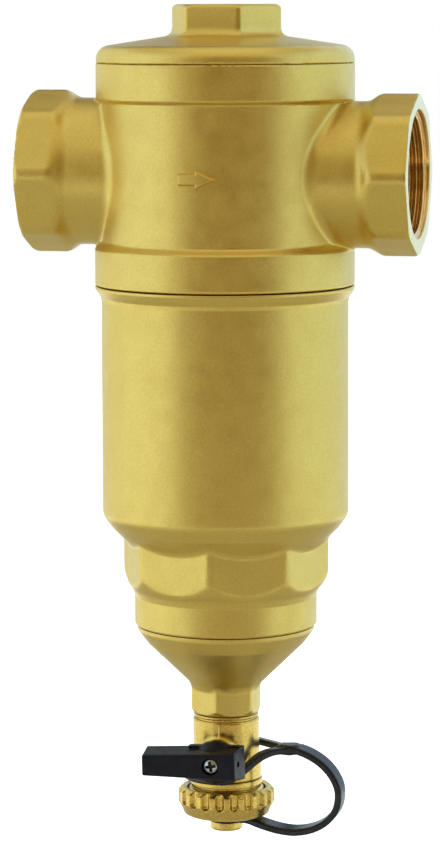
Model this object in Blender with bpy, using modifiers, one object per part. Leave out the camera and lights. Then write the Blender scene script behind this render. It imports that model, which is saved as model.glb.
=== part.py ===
# Brass dirt separator for a DN 32 water pipe, with its drain valve below.
# The origin is where the pipe's axis crosses the upright axis of the body. Water flows towards +X,
# +Z is up and -Y is the front, where the flow arrow and the valve's lever are.
# Lengths are written in millimetres, and MM turns them into Blender's metres.

import math

import bmesh
import bpy
from mathutils import Matrix, Vector

MM = 0.001
WELD = 0.000001

# Clearance between pieces that touch on the real object
GAP = 0.3

# How finely round pieces are turned
COARSE = 20
MIDDLE = 32
FINE = 40

# Pipe connections: two octagonal ends with female G 1 1/4 threads
FACE_TO_FACE = 130.0
PORT_FACE = FACE_TO_FACE / 2
PORT_ACROSS_FLATS = 50.0
PORT_FULL_SIZE_FROM = 52.2
NECK_RADIUS = 24.0
THREAD_RADIUS = 20.955
THREAD_DEPTH = 20.0
PASSAGE_RADIUS = 18.5

# Body barrel
BAND_RADIUS = 42.8
WAIST_RADIUS = 40.5
BODY_TOP = 36.0
BODY_BOTTOM = -36.8
BORE_RADIUS = 37.0
SPIGOT_RADIUS = 36.6

# Top plug
PLUG_HEX_ACROSS_FLATS = 32.6
PLUG_TOP = 55.2
PLUG_SEAM = BODY_TOP + GAP
PLUG_SPIGOT_BOTTOM = 24.0

# Bowl
BOWL_LIP_RADIUS = 43.0
BOWL_RADIUS = 41.0
BOWL_SEAM = BODY_BOTTOM - GAP
BOWL_SPIGOT_TOP = -26.0
BOWL_OCTAGON_ACROSS_FLATS = 64.4
BOWL_OCTAGON_TURN = math.radians(3.8)
BOWL_COLLAR_TOP_RADIUS = 31.3
BOWL_COLLAR_RADIUS = 30.5
BOWL_BOTTOM = -150.8

# Funnel
FUNNEL_SEAM = BOWL_BOTTOM - GAP
FUNNEL_SPIGOT_RADIUS = 26.6
FUNNEL_HEX_ACROSS_FLATS = 21.0
FUNNEL_HEX_TURN = math.radians(27.5)
FUNNEL_BOTTOM = -182.4

# Drain valve
VALVE_TOP = FUNNEL_BOTTOM - GAP
VALVE_RADIUS = 11.2
VALVE_BOTTOM = -203.5
BALL_HEIGHT = -195.0
BALL_RADIUS = 7.5
BALL_BORE_RADIUS = 4.5
STEM_RADIUS = 3.2
STEM_HOLE_RADIUS = 3.5
BOSS_LENGTH = 14.8
OUTLET_TOP = VALVE_BOTTOM - GAP
OUTLET_BOTTOM = -212.2
OUTLET_THREAD_RADIUS = 12.9

# Lever: its depth runs along -Y from the valve's axis
LEVER_BACK = 15.2
LEVER_FRONT = 24.5
LEVER_TIP = 22.8
LEVER_STUB = 7.6
LEVER_DROOP = math.radians(2.7)

# Cap and its strap
CAP_RADIUS = 16.1
CAP_SKIRT_RADIUS = 14.9
CAP_LOBES = 20
CAP_FIRST_NOTCH = math.radians(4.5)
CAP_BOTTOM = -215.9
BUTTON_NECK_RADIUS = 3.6
STRAP_WIDTH = 5.0
STRAP_THICKNESS = 2.3

# Separator element
MESH_BOTTOM = -73.7
MESH_TOP = 21.4
ELEMENT_FLANGE = BOWL_SPIGOT_TOP + GAP

# Directions that turned pieces are laid along
UPRIGHT = Matrix.Identity(4)
ALONG_PIPE = Matrix.Rotation(math.pi / 2, 4, "Y")
FORWARD = Matrix.Rotation(math.pi / 2, 4, "X")
STEM_AXIS = Matrix.Translation((0, 0, BALL_HEIGHT * MM)) @ FORWARD

# Colours read from the photograph, and the finish of each material
CAST_BRASS = ((0.60, 0.46, 0.16), 0.9, 0.5)
BRIGHT_BRASS = ((0.72, 0.54, 0.20), 1.0, 0.25)
CHROMED_BRASS = ((0.75, 0.75, 0.76), 1.0, 0.12)
ZINC_STEEL = ((0.62, 0.66, 0.68), 1.0, 0.35)
BLACK_PLASTIC = ((0.02, 0.02, 0.03), 0.0, 0.45)
BLACK_RUBBER = ((0.03, 0.03, 0.035), 0.0, 0.6)
GREY_PLASTIC = ((0.30, 0.32, 0.34), 0.0, 0.5)
WHITE_PLASTIC = ((0.85, 0.85, 0.82), 0.0, 0.4)


def clear_scene():
    for old in list(bpy.data.objects):
        bpy.data.objects.remove(old, do_unlink=True)


def new_collection(name):
    collection = bpy.data.collections.new(name)
    bpy.context.scene.collection.children.link(collection)
    return collection


clear_scene()
parts = new_collection("dirt_separator")
cutters = new_collection("cutters")


# Ways of making a solid

def new_object(name, mesh, place=UPRIGHT):
    """Every solid starts as a guide among the cutters; make_part turns it into a piece."""
    made = bpy.data.objects.new(name, mesh)
    made.matrix_world = place
    made.display_type = "WIRE"
    made.hide_render = True
    cutters.objects.link(made)
    return made


def turned(name, profile, steps, place=UPRIGHT):
    """Turns a profile of (radius, height) points; one that starts off the axis is a closed ring."""
    count = len(profile)
    edges = [(i, i + 1) for i in range(count - 1)]
    if profile[0][0] > 0:
        edges.append((count - 1, 0))
    mesh = bpy.data.meshes.new(name)
    mesh.from_pydata([(radius * MM, 0, height * MM) for radius, height in profile], edges, [])
    made = new_object(name, mesh, place)
    screw = made.modifiers.new("Turn", "SCREW")
    screw.steps = steps
    screw.render_steps = steps
    screw.use_merge_vertices = True
    screw.merge_threshold = WELD
    screw.use_smooth_shade = True
    return made


def prism(name, sides, across_flats, low, high, turn=0.0, place=UPRIGHT):
    """A regular prism with a corner at the angle turn, between two heights."""
    mesh = bpy.data.meshes.new(name)
    form = bmesh.new()
    corner_radius = across_flats / 2 / math.cos(math.pi / sides)
    centre = Matrix.Translation((0, 0, (low + high) / 2 * MM)) @ Matrix.Rotation(turn, 4, "Z")
    bmesh.ops.create_cone(form, cap_ends=True, segments=sides, radius1=corner_radius * MM,
                          radius2=corner_radius * MM, depth=(high - low) * MM, matrix=centre)
    form.to_mesh(mesh)
    form.free()
    return new_object(name, mesh, place)


def box(name, low, high, place=UPRIGHT):
    """A box between two corners."""
    mesh = bpy.data.meshes.new(name)
    form = bmesh.new()
    size = [(b - a) * MM for a, b in zip(low, high)]
    middle = [(a + b) / 2 * MM for a, b in zip(low, high)]
    grow = Matrix.Translation(middle) @ Matrix.Diagonal((*size, 1))
    bmesh.ops.create_cube(form, size=1, matrix=grow)
    form.to_mesh(mesh)
    form.free()
    return new_object(name, mesh, place)


def torus(name, radius, thickness, height, steps, place=UPRIGHT):
    """A ring of round section, such as an O-ring."""
    bpy.ops.mesh.primitive_torus_add(major_segments=steps, minor_segments=5,
                                     major_radius=radius * MM, minor_radius=thickness / 2 * MM)
    made = bpy.context.object
    made.name = name
    made.matrix_world = place @ Matrix.Translation((0, 0, height * MM))
    made.data.shade_smooth()
    made.display_type = "WIRE"
    made.hide_render = True
    for collection in list(made.users_collection):
        collection.objects.unlink(made)
    cutters.objects.link(made)
    return made


def combine(made, operation, other):
    modifier = made.modifiers.new(other.name, "BOOLEAN")
    modifier.operation = operation
    modifier.object = other
    modifier.solver = "EXACT"


def join(made, *others):
    for other in others:
        combine(made, "UNION", other)


def cut(made, *others):
    for other in others:
        combine(made, "DIFFERENCE", other)


def keep_inside(made, envelope):
    combine(made, "INTERSECT", envelope)


def bevel(made, width, segments, angle=math.radians(40)):
    modifier = made.modifiers.new("Rounding", "BEVEL")
    modifier.width = width * MM
    modifier.segments = segments
    modifier.limit_method = "ANGLE"
    modifier.angle_limit = angle


def make_part(made, look):
    """Moves a finished solid to the parts and gives it its material."""
    colour, metallic, roughness = look
    cutters.objects.unlink(made)
    parts.objects.link(made)
    made.display_type = "TEXTURED"
    made.hide_render = False
    surface = bpy.data.materials.new(made.name)
    surface.use_nodes = True
    shader = surface.node_tree.nodes["Principled BSDF"]
    shader.inputs["Base Color"].default_value = (*colour, 1)
    shader.inputs["Metallic"].default_value = metallic
    shader.inputs["Roughness"].default_value = roughness
    surface.diffuse_color = (*colour, 1)
    made.data.materials.append(surface)


def arc(centre, radius, start, end, steps):
    """Points on an arc, from one angle to another in degrees."""
    points = []
    for i in range(steps + 1):
        angle = math.radians(start + (end - start) * i / steps)
        points.append((centre[0] + radius * math.cos(angle), centre[1] + radius * math.sin(angle)))
    return points


# Body: a cast barrel with a band at each end, two necks with octagonal ends, and a flow arrow

def port(side):
    """Neck and octagonal end on one side; side is -1 at the inlet and 1 at the outlet."""
    place = Matrix.Rotation(side * math.pi / 2, 4, "Y")
    corner_radius = PORT_ACROSS_FLATS / 2 / math.cos(math.pi / 8)
    flare = arc((30.0, 46.0), 6.0, 180, 235, 3)
    neck = turned("neck", [(0, PORT_FACE - 1.0), (NECK_RADIUS - 1.0, PORT_FACE - 1.0),
                           (NECK_RADIUS, PORT_FACE - 2.0), *flare, (27.6, 32.0), (0, 32.0)],
                  MIDDLE, place)
    octagon = prism("octagon", 8, PORT_ACROSS_FLATS, 49.0, PORT_FACE, 0.0, place)
    # Turned in other steps than the neck, so that the facets of the two don't line up where they cross
    envelope = turned("octagon_envelope", [(0, PORT_FACE), (corner_radius - 0.8, PORT_FACE),
                                           (corner_radius + 0.1, PORT_FACE - 0.9),
                                           (corner_radius + 0.1, PORT_FULL_SIZE_FROM),
                                           (NECK_RADIUS - 0.4, PORT_FULL_SIZE_FROM - 2.8),
                                           (0, PORT_FULL_SIZE_FROM - 2.8)], FINE, place)
    keep_inside(octagon, envelope)
    return neck, octagon


def flow_arrow():
    """A raised arrow that follows the round of the waist and points to the outlet."""
    proud = 0.7
    outline = [(-6.2, -1.75), (-0.4, -1.75), (-0.4, -3.4), (6.2, 0.0),
               (-0.4, 3.4), (-0.4, 1.75), (-6.2, 1.75)]
    form = bmesh.new()
    ring = [form.verts.new((x * MM, -43.0 * MM, z * MM)) for x, z in outline]
    face = form.faces.new(ring)
    grown = bmesh.ops.extrude_face_region(form, geom=[face])
    back = [item for item in grown["geom"] if isinstance(item, bmesh.types.BMVert)]
    bmesh.ops.translate(form, verts=back, vec=Vector((0, 5.0 * MM, 0)))
    bmesh.ops.recalc_face_normals(form, faces=form.faces)
    mesh = bpy.data.meshes.new("arrow")
    form.to_mesh(mesh)
    form.free()
    arrow = new_object("arrow", mesh)
    radius = WAIST_RADIUS + proud
    keep_inside(arrow, turned("arrow_envelope", [(0, 6), (radius, 6), (radius, -6), (0, -6)], FINE * 2))
    return arrow


def make_body():
    upper_step = [(BAND_RADIUS, 24.6), (42.1, 23.6), (41.0, 22.8), (WAIST_RADIUS, 21.9)]
    lower_step = [(WAIST_RADIUS, -22.4), (41.0, -23.4), (42.1, -24.2), (BAND_RADIUS, -25.2)]
    body = turned("body", [(0, BODY_TOP), (BAND_RADIUS - 0.4, BODY_TOP), (BAND_RADIUS, BODY_TOP - 0.4),
                           *upper_step, *lower_step,
                           (BAND_RADIUS, BODY_BOTTOM + 0.4), (BAND_RADIUS - 0.4, BODY_BOTTOM),
                           (0, BODY_BOTTOM)], FINE)
    join(body, *port(-1), *port(1), flow_arrow())
    cavity = turned("cavity", [(0, 40), (BORE_RADIUS + 0.6, 40), (BORE_RADIUS + 0.6, BODY_TOP - 0.1),
                               (BORE_RADIUS, BODY_TOP - 0.7), (BORE_RADIUS, BODY_BOTTOM + 0.7),
                               (BORE_RADIUS + 0.6, BODY_BOTTOM + 0.1), (BORE_RADIUS + 0.6, -42), (0, -42)],
                    FINE)
    half_bore = [(THREAD_RADIUS + 0.9, PORT_FACE + 2), (THREAD_RADIUS + 0.9, PORT_FACE - 0.1),
                 (THREAD_RADIUS, PORT_FACE - 1.0), (THREAD_RADIUS, PORT_FACE - THREAD_DEPTH),
                 (PASSAGE_RADIUS, PORT_FACE - THREAD_DEPTH - 1.6)]
    other_half = [(radius, -along) for radius, along in reversed(half_bore)]
    bore = turned("pipe_bore", [(0, PORT_FACE + 2), *half_bore, *other_half, (0, -PORT_FACE - 2)],
                  MIDDLE, ALONG_PIPE)
    cut(body, cavity, bore)
    make_part(body, CAST_BRASS)


# Top plug: a domed cover with a spanner hexagon, screwed into the body

def make_top_plug():
    dome = [(0, 46.6), (17.4, 46.6), (18.8, 45.4), (20.8, 44.6), (38.0, 41.9), (40.6, 41.1),
            (42.0, 39.8), (42.6, 37.8), (42.6, 36.7), (42.2, PLUG_SEAM)]
    groove = [(SPIGOT_RADIUS, 35.0), (34.4, 35.0), (34.4, 32.4), (SPIGOT_RADIUS, 32.4)]
    plug = turned("top_plug", [*dome, (SPIGOT_RADIUS, PLUG_SEAM), *groove,
                               (SPIGOT_RADIUS, PLUG_SPIGOT_BOTTOM + 0.6),
                               (SPIGOT_RADIUS - 0.6, PLUG_SPIGOT_BOTTOM), (0, PLUG_SPIGOT_BOTTOM)], FINE)
    hexagon = prism("plug_hexagon", 6, PLUG_HEX_ACROSS_FLATS, 40, PLUG_TOP, math.radians(-4.2))
    bevel(hexagon, 1.1, 2)
    envelope = turned("plug_hexagon_envelope", [(0, PLUG_TOP), (16.4, PLUG_TOP), (17.6, 54.7),
                                                (18.5, 53.4), (18.5, 39), (0, 39)], MIDDLE)
    keep_inside(hexagon, envelope)
    join(plug, hexagon)
    hollow = turned("plug_hollow", [(0, 48), (11.0, 48), (13.0, 39.0), (30.0, 37.0), (32.0, 35.0),
                                    (32.0, 22), (0, 22)], MIDDLE)
    cut(plug, hollow)
    make_part(plug, CAST_BRASS)
    make_part(torus("top_plug_o_ring", 35.7, 2.0, 33.7, MIDDLE), BLACK_RUBBER)


# Bowl: the long dirt chamber, with an octagon for a spanner near its lower end

def make_bowl():
    spigot = [(SPIGOT_RADIUS - 0.6, BOWL_SPIGOT_TOP), (SPIGOT_RADIUS, BOWL_SPIGOT_TOP - 0.6),
              (SPIGOT_RADIUS, -33.8), (34.4, -33.8), (34.4, -36.4), (SPIGOT_RADIUS, -36.4),
              (SPIGOT_RADIUS, BOWL_SEAM)]
    lip = [(BOWL_LIP_RADIUS - 0.3, BOWL_SEAM), (BOWL_LIP_RADIUS, -37.5), (42.3, -39.0),
           (41.2, -40.5), (BOWL_RADIUS, -41.3)]
    shoulder = [(BOWL_RADIUS, -111.8), (40.5, -113.9), (39.4, -115.7), (37.0, -118.1),
                (BOWL_COLLAR_TOP_RADIUS, -123.8)]
    foot = [(BOWL_COLLAR_TOP_RADIUS, -138.2), (BOWL_COLLAR_RADIUS, -141.0),
            (BOWL_COLLAR_RADIUS, -149.3), (29.8, BOWL_BOTTOM)]
    bowl = turned("bowl", [(0, BOWL_SPIGOT_TOP), *spigot, *lip, *shoulder, *foot, (0, BOWL_BOTTOM)], FINE)
    octagon = prism("bowl_octagon", 8, BOWL_OCTAGON_ACROSS_FLATS, -142.6, -119.6, BOWL_OCTAGON_TURN)
    corner_radius = BOWL_OCTAGON_ACROSS_FLATS / 2 / math.cos(math.pi / 8)
    envelope = turned("bowl_octagon_envelope", [(0, -119), (corner_radius, -119), (corner_radius, -132.8),
                                                (34.2, -134.4), (32.9, -136.8), (30.6, -138.6),
                                                (0, -138.6)], FINE)
    bevel(octagon, 0.8, 1)
    keep_inside(octagon, envelope)
    join(bowl, octagon)
    hollow = turned("bowl_hollow", [(0, -24), (32.6, -24), (32.6, -38.5), (37.4, -43.3), (37.4, -113.5),
                                    (27.0, -122.5), (27.0, -153.5), (0, -153.5)], FINE)
    cut(bowl, hollow)
    make_part(bowl, CAST_BRASS)
    make_part(torus("bowl_o_ring", 35.7, 2.0, -35.1, MIDDLE), BLACK_RUBBER)


# Funnel: the cone that closes the bowl and leads the dirt down to the valve

def make_funnel():
    spigot = [(FUNNEL_SPIGOT_RADIUS - 0.5, -141.5), (FUNNEL_SPIGOT_RADIUS, -142.0),
              (FUNNEL_SPIGOT_RADIUS, -147.2), (24.5, -147.2), (24.5, -149.8),
              (FUNNEL_SPIGOT_RADIUS, -149.8), (FUNNEL_SPIGOT_RADIUS, FUNNEL_SEAM)]
    cone = [(29.7, FUNNEL_SEAM), (29.4, -152.2), (28.3, -154.1), (25.9, -157.2), (11.9, -170.8),
            (10.2, -173.2)]
    funnel = turned("funnel", [(0, -141.5), *spigot, *cone, (0, -173.2)], FINE)
    hexagon = prism("funnel_hexagon", 6, FUNNEL_HEX_ACROSS_FLATS, FUNNEL_BOTTOM, -166.0, FUNNEL_HEX_TURN)
    corner_radius = FUNNEL_HEX_ACROSS_FLATS / 2 / math.cos(math.pi / 6)
    envelope = turned("funnel_hexagon_envelope", [(0, -168.8), (corner_radius - 0.2, -168.8),
                                                  (corner_radius - 0.2, -180.6), (10.9, FUNNEL_BOTTOM),
                                                  (0, FUNNEL_BOTTOM)], MIDDLE)
    keep_inside(hexagon, envelope)
    join(funnel, hexagon)
    hollow = turned("funnel_hollow", [(0, -140), (21.5, -140), (21.5, -156.5), (6.5, -171.0), (6.5, -171.9),
                                      (8.4, -171.9), (8.4, -184), (0, -184)], MIDDLE)
    cut(funnel, hollow)
    make_part(funnel, CAST_BRASS)
    make_part(torus("funnel_o_ring", 25.7, 1.8, -148.5, MIDDLE), BLACK_RUBBER)


# Separator element: three mesh cylinders, one inside the other, in a frame that hangs on the bowl

def diamond_mesh(name, radius, around, rows, strut):
    """A cylinder of diamond mesh: a wrapped grid whose squares are poked and then joined in pairs."""
    form = bmesh.new()
    bmesh.ops.create_grid(form, x_segments=around, y_segments=rows, size=1.0)
    half_strut = strut / 2
    low = MESH_BOTTOM + half_strut
    high = MESH_TOP - half_strut
    for vert in form.verts:
        angle = math.pi * vert.co.x
        height = low + (high - low) * (vert.co.y + 1) / 2
        vert.co = Vector((radius * math.cos(angle), radius * math.sin(angle), height)) * MM
    bmesh.ops.remove_doubles(form, verts=form.verts, dist=WELD)
    grid_edges = [edge for edge in form.edges if not edge.is_boundary]
    poked = bmesh.ops.poke(form, faces=form.faces)
    for vert in poked["verts"]:
        flat = Vector((vert.co.x, vert.co.y, 0)).normalized() * radius * MM
        vert.co = Vector((flat.x, flat.y, vert.co.z))
    bmesh.ops.dissolve_edges(form, edges=grid_edges, use_verts=False)
    bmesh.ops.recalc_face_normals(form, faces=form.faces)
    mesh = bpy.data.meshes.new(name)
    form.to_mesh(mesh)
    form.free()
    made = new_object(name, mesh)
    wire = made.modifiers.new("Struts", "WIREFRAME")
    wire.thickness = strut * MM
    wire.use_even_offset = False
    wire.use_boundary = True
    wire.use_replace = True
    make_part(made, GREY_PLASTIC)


def make_element_frame():
    """Top and bottom spiders on a middle rod, with posts down to the flange that rests on the bowl."""
    spider_thickness = 2.0
    top_low = MESH_TOP + GAP
    top_high = top_low + spider_thickness
    bottom_high = MESH_BOTTOM - GAP
    bottom_low = bottom_high - spider_thickness
    flange_high = ELEMENT_FLANGE + spider_thickness
    frame = turned("element_frame", [(0, top_high), (2.4, top_high), (2.4, bottom_low - 1.5),
                                     (0, bottom_low - 1.5)], COARSE // 2)
    rings = [("top_ring", 33.0, 36.2, top_low, top_high), ("bottom_ring", 29.6, 31.8, bottom_low, bottom_high),
             ("flange_ring", 33.0, 36.2, ELEMENT_FLANGE, flange_high)]
    for name, inner, outer, low, high in rings:
        join(frame, turned(name, [(outer, high), (outer, low), (inner, low), (inner, high)], MIDDLE))
    for name, reach, low, high in (("top_arm", 34.0, top_low, top_high),
                                   ("bottom_arm", 30.6, bottom_low, bottom_high)):
        for i in range(2):
            turn = Matrix.Rotation(math.radians(45 + 90 * i), 4, "Z")
            inset = 0.03 * (i + 1)
            join(frame, box(name, (-reach, -1.4, low + inset), (reach, 1.4, high - inset), turn))
    for i in range(4):
        turn = Matrix.Rotation(math.radians(45 + 90 * i), 4, "Z")
        join(frame, box("post", (33.3, -2.0, ELEMENT_FLANGE + 0.1), (35.9, 2.0, top_high - 0.1), turn))
    make_part(frame, GREY_PLASTIC)


# Drain valve: a ball valve whose stem comes out at the front

def stem_cylinder(name, radius, near, far, steps):
    return turned(name, [(0, far), (radius, far), (radius, near), (0, near)], steps, STEM_AXIS)


def make_valve_body():
    spigot = [(7.5, -172.3), (8.0, -172.8), (8.0, -180.2), (6.1, -180.2), (6.1, VALVE_TOP)]
    barrel = [(VALVE_RADIUS - 0.6, VALVE_TOP), (VALVE_RADIUS, VALVE_TOP - 0.6), (VALVE_RADIUS, -197.6),
              (11.7, -198.3), (11.7, VALVE_BOTTOM + 0.3), (11.4, VALVE_BOTTOM)]
    body = turned("valve_body", [(0, -172.3), *spigot, *barrel, (0, VALVE_BOTTOM)], MIDDLE)
    boss = turned("stem_boss", [(0, BOSS_LENGTH), (5.9, BOSS_LENGTH), (6.2, BOSS_LENGTH - 0.3), (6.2, 12.0),
                                (6.6, 11.2), (6.6, 6.0), (0, 6.0)], COARSE, STEM_AXIS)
    join(body, boss)
    hollow = turned("valve_hollow", [(0, -171), (BALL_BORE_RADIUS, -171), (BALL_BORE_RADIUS, -186.5),
                                     (7.2, -186.5), (7.2, -191.0), (8.2, -191.6), (8.2, -199.6),
                                     (9.8, -199.6), (9.8, -205), (0, -205)], MIDDLE)
    stem_hole = turned("stem_hole", [(0, 16), (STEM_HOLE_RADIUS, 16), (STEM_HOLE_RADIUS, 9.8), (4.5, 9.8),
                                     (4.5, 5), (0, 5)], COARSE, STEM_AXIS)
    cut(body, hollow, stem_hole)
    make_part(body, BRIGHT_BRASS)
    make_part(torus("valve_o_ring", 7.25, 1.6, -181.4, COARSE), BLACK_RUBBER)


def make_valve_outlet():
    outlet = turned("valve_outlet", [(0, -199.9), (9.2, -199.9), (9.5, -200.2), (9.5, OUTLET_TOP),
                                     (12.2, OUTLET_TOP), (12.5, -204.1), (12.5, -205.1), (12.2, -205.4),
                                     (11.7, -205.4), (11.7, -206.8), (OUTLET_THREAD_RADIUS, -207.5),
                                     (OUTLET_THREAD_RADIUS, -211.6), (12.3, OUTLET_BOTTOM),
                                     (0, OUTLET_BOTTOM)], MIDDLE)
    hollow = turned("outlet_hollow", [(0, -199), (7.2, -199), (7.2, -203.5), (BALL_BORE_RADIUS, -203.5),
                                      (BALL_BORE_RADIUS, -207.0), (7.0, -210.0), (7.0, -213), (0, -213)],
                    MIDDLE)
    cut(outlet, hollow)
    make_part(outlet, BRIGHT_BRASS)


def make_ball_and_seats():
    """The ball is shut: its bore lies along the pipe's direction."""
    centre = Matrix.Translation((0, 0, BALL_HEIGHT * MM))
    mesh = bpy.data.meshes.new("ball")
    form = bmesh.new()
    bmesh.ops.create_uvsphere(form, u_segments=16, v_segments=10, radius=BALL_RADIUS * MM)
    form.to_mesh(mesh)
    form.free()
    mesh.shade_smooth()
    ball = new_object("ball", mesh, centre)
    bore = turned("ball_bore", [(0, 9), (BALL_BORE_RADIUS, 9), (BALL_BORE_RADIUS, -9), (0, -9)],
                  COARSE, centre @ ALONG_PIPE)
    slot = box("ball_slot", (-3.4, -9.0, -1.2), (3.4, -5.6, 1.2), centre)
    cut(ball, bore, slot)
    make_part(ball, CHROMED_BRASS)
    seat_half = [(4.8, 8.2), (6.9, 8.2), (6.9, 4.4), (6.6, 4.16), (5.8, 5.22), (4.8, 6.15)]
    for name, side in (("upper_seat", 1), ("lower_seat", -1)):
        profile = [(radius, BALL_HEIGHT + side * height) for radius, height in seat_half]
        if side < 0:
            profile.reverse()
        make_part(turned(name, profile, COARSE), WHITE_PLASTIC)


def make_stem():
    stem = turned("valve_stem", [(0, 18.4), (STEM_RADIUS - 0.3, 18.4), (STEM_RADIUS, 18.1),
                                 (STEM_RADIUS, 12.7), (1.6, 12.7), (1.6, 10.5), (STEM_RADIUS, 10.5),
                                 (STEM_RADIUS, 9.4), (4.2, 9.4), (4.2, 8.0), (0, 8.0)], COARSE, STEM_AXIS)
    tang = box("stem_tang", (-3.0, -8.5, BALL_HEIGHT - 0.8), (3.0, -5.9, BALL_HEIGHT + 0.8))
    join(stem, tang)
    cut(stem, stem_cylinder("stem_screw_hole", 1.3, 14.0, 20.0, 12))
    for side in (-1, 1):
        low = (-4, -20, BALL_HEIGHT + min(side * 2.4, side * 5))
        high = (4, -15.6, BALL_HEIGHT + max(side * 2.4, side * 5))
        cut(stem, box("stem_flat", low, high))
    make_part(stem, BRIGHT_BRASS)
    make_part(torus("stem_o_ring", 2.55, 1.2, 11.6, COARSE, STEM_AXIS), BLACK_RUBBER)


# Lever and its screw

def lever_outline(grow):
    """The lever seen from the front, around the stem: a narrow grip that widens to a square root."""
    tip_half = 3.2 + grow
    root_half = 4.55 + grow
    tip = -LEVER_TIP - grow
    stub = LEVER_STUB + grow
    return [(stub, -root_half), (stub, root_half), (-8.6, root_half), (-11.0, tip_half + 0.35),
            (tip + 0.7, tip_half), (tip, tip_half - 0.7), (tip, 0.7 - tip_half), (tip + 0.7, -tip_half),
            (-11.0, -tip_half - 0.35), (-8.6, -root_half)]


def make_lever():
    """The lever is shut, so it lies along the pipe with its tip towards the inlet, a little low."""
    front = lever_outline(0.0)
    back = lever_outline(1.3)
    form = bmesh.new()
    rings = []
    for outline, depth in ((front, LEVER_FRONT), (back, LEVER_BACK)):
        rings.append([form.verts.new((x * MM, -depth * MM, z * MM)) for x, z in outline])
    count = len(front)
    form.faces.new(rings[0])
    form.faces.new(rings[1][::-1])
    for i in range(count):
        following = (i + 1) % count
        form.faces.new((rings[0][i], rings[1][i], rings[1][following], rings[0][following]))
    bmesh.ops.recalc_face_normals(form, faces=form.faces)
    mesh = bpy.data.meshes.new("handle")
    form.to_mesh(mesh)
    form.free()
    place = Matrix.Translation((0, 0, BALL_HEIGHT * MM)) @ Matrix.Rotation(-LEVER_DROOP, 4, "Y")
    lever = new_object("handle", mesh, place)
    bevel(lever, 0.35, 1)
    hub_back = LEVER_BACK + 0.05
    hub = turned("lever_hub", [(0, 20.4), (5.4, 20.4), (7.3, 17.6), (7.3, hub_back), (0, hub_back)],
                 COARSE, STEM_AXIS)
    join(lever, hub)
    cut(lever, box("lever_end_hole", (5.6, -20.4, -1.1), (10, -19.2, 1.1), place),
        stem_cylinder("lever_stem_hole", STEM_RADIUS + GAP, LEVER_BACK - 1, 18.7, COARSE),
        stem_cylinder("lever_recess", 3.2, 20.2, LEVER_FRONT + 1, COARSE),
        stem_cylinder("lever_screw_hole", 1.4, 17.0, 21.5, 12))
    make_part(lever, BLACK_PLASTIC)


def make_lever_screw():
    screw = turned("handle_screw", [(0, 22.3), (1.2, 22.1), (1.9, 21.6), (2.2, 20.9), (2.2, 20.5),
                                    (1.0, 20.5), (1.0, 14.6), (0, 14.3)], COARSE, STEM_AXIS)
    for i in range(2):
        turn = STEM_AXIS @ Matrix.Rotation(math.radians(45 + 90 * i), 4, "Z")
        cut(screw, box("cross_recess", (-1.3, -0.28, 21.0 + 0.02 * i), (1.3, 0.28, 24.0), turn))
    make_part(screw, ZINC_STEEL)


# Cap, its washer and the strap that keeps it with the valve

def make_cap():
    wall = [(13.3, -214.1), (13.3, -207.1), (13.8, -206.6), (14.6, -206.6), (CAP_RADIUS, -207.8),
            (CAP_RADIUS, -211.8), (CAP_SKIRT_RADIUS, -212.5), (CAP_SKIRT_RADIUS, -214.0),
            (13.9, -215.4), (12.0, CAP_BOTTOM)]
    button = [(BUTTON_NECK_RADIUS, CAP_BOTTOM), (BUTTON_NECK_RADIUS, -218.6), (5.3, -218.6),
              (5.3, -220.6), (4.6, -221.2)]
    cap = turned("cap", [(0, -214.1), *wall, *button, (0, -221.2)], FINE)
    notches = new_object("cap_notches", bpy.data.meshes.new("cap_notches"))
    form = bmesh.new()
    notch_radius = 1.15
    for i in range(CAP_LOBES):
        angle = CAP_FIRST_NOTCH + i * 2 * math.pi / CAP_LOBES
        place = Matrix.Rotation(angle, 4, "Z") @ Matrix.Translation((16.1 * MM, 0, -208.6 * MM))
        bmesh.ops.create_cone(form, cap_ends=True, segments=8, radius1=notch_radius * MM,
                              radius2=notch_radius * MM, depth=7.2 * MM, matrix=place)
    form.to_mesh(notches.data)
    form.free()
    cut(cap, notches)
    make_part(cap, BRIGHT_BRASS)
    make_part(turned("cap_gasket", [(12.7, -212.6), (12.7, -213.8), (6.5, -213.8), (6.5, -212.6)],
                     MIDDLE), BLACK_RUBBER)


def strap_ring_height(angle):
    """The ring rests on the outlet's flange and is pulled up where the strap leaves it."""
    rest_height = -202.55
    rise = 9.6
    highest = math.radians(20)
    away = abs(math.remainder(angle - highest, 2 * math.pi))
    share = min(1.0, max(0.0, (math.radians(106) - away) / math.radians(76)))
    return rest_height + rise * share * share * (3 - 2 * share)


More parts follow.
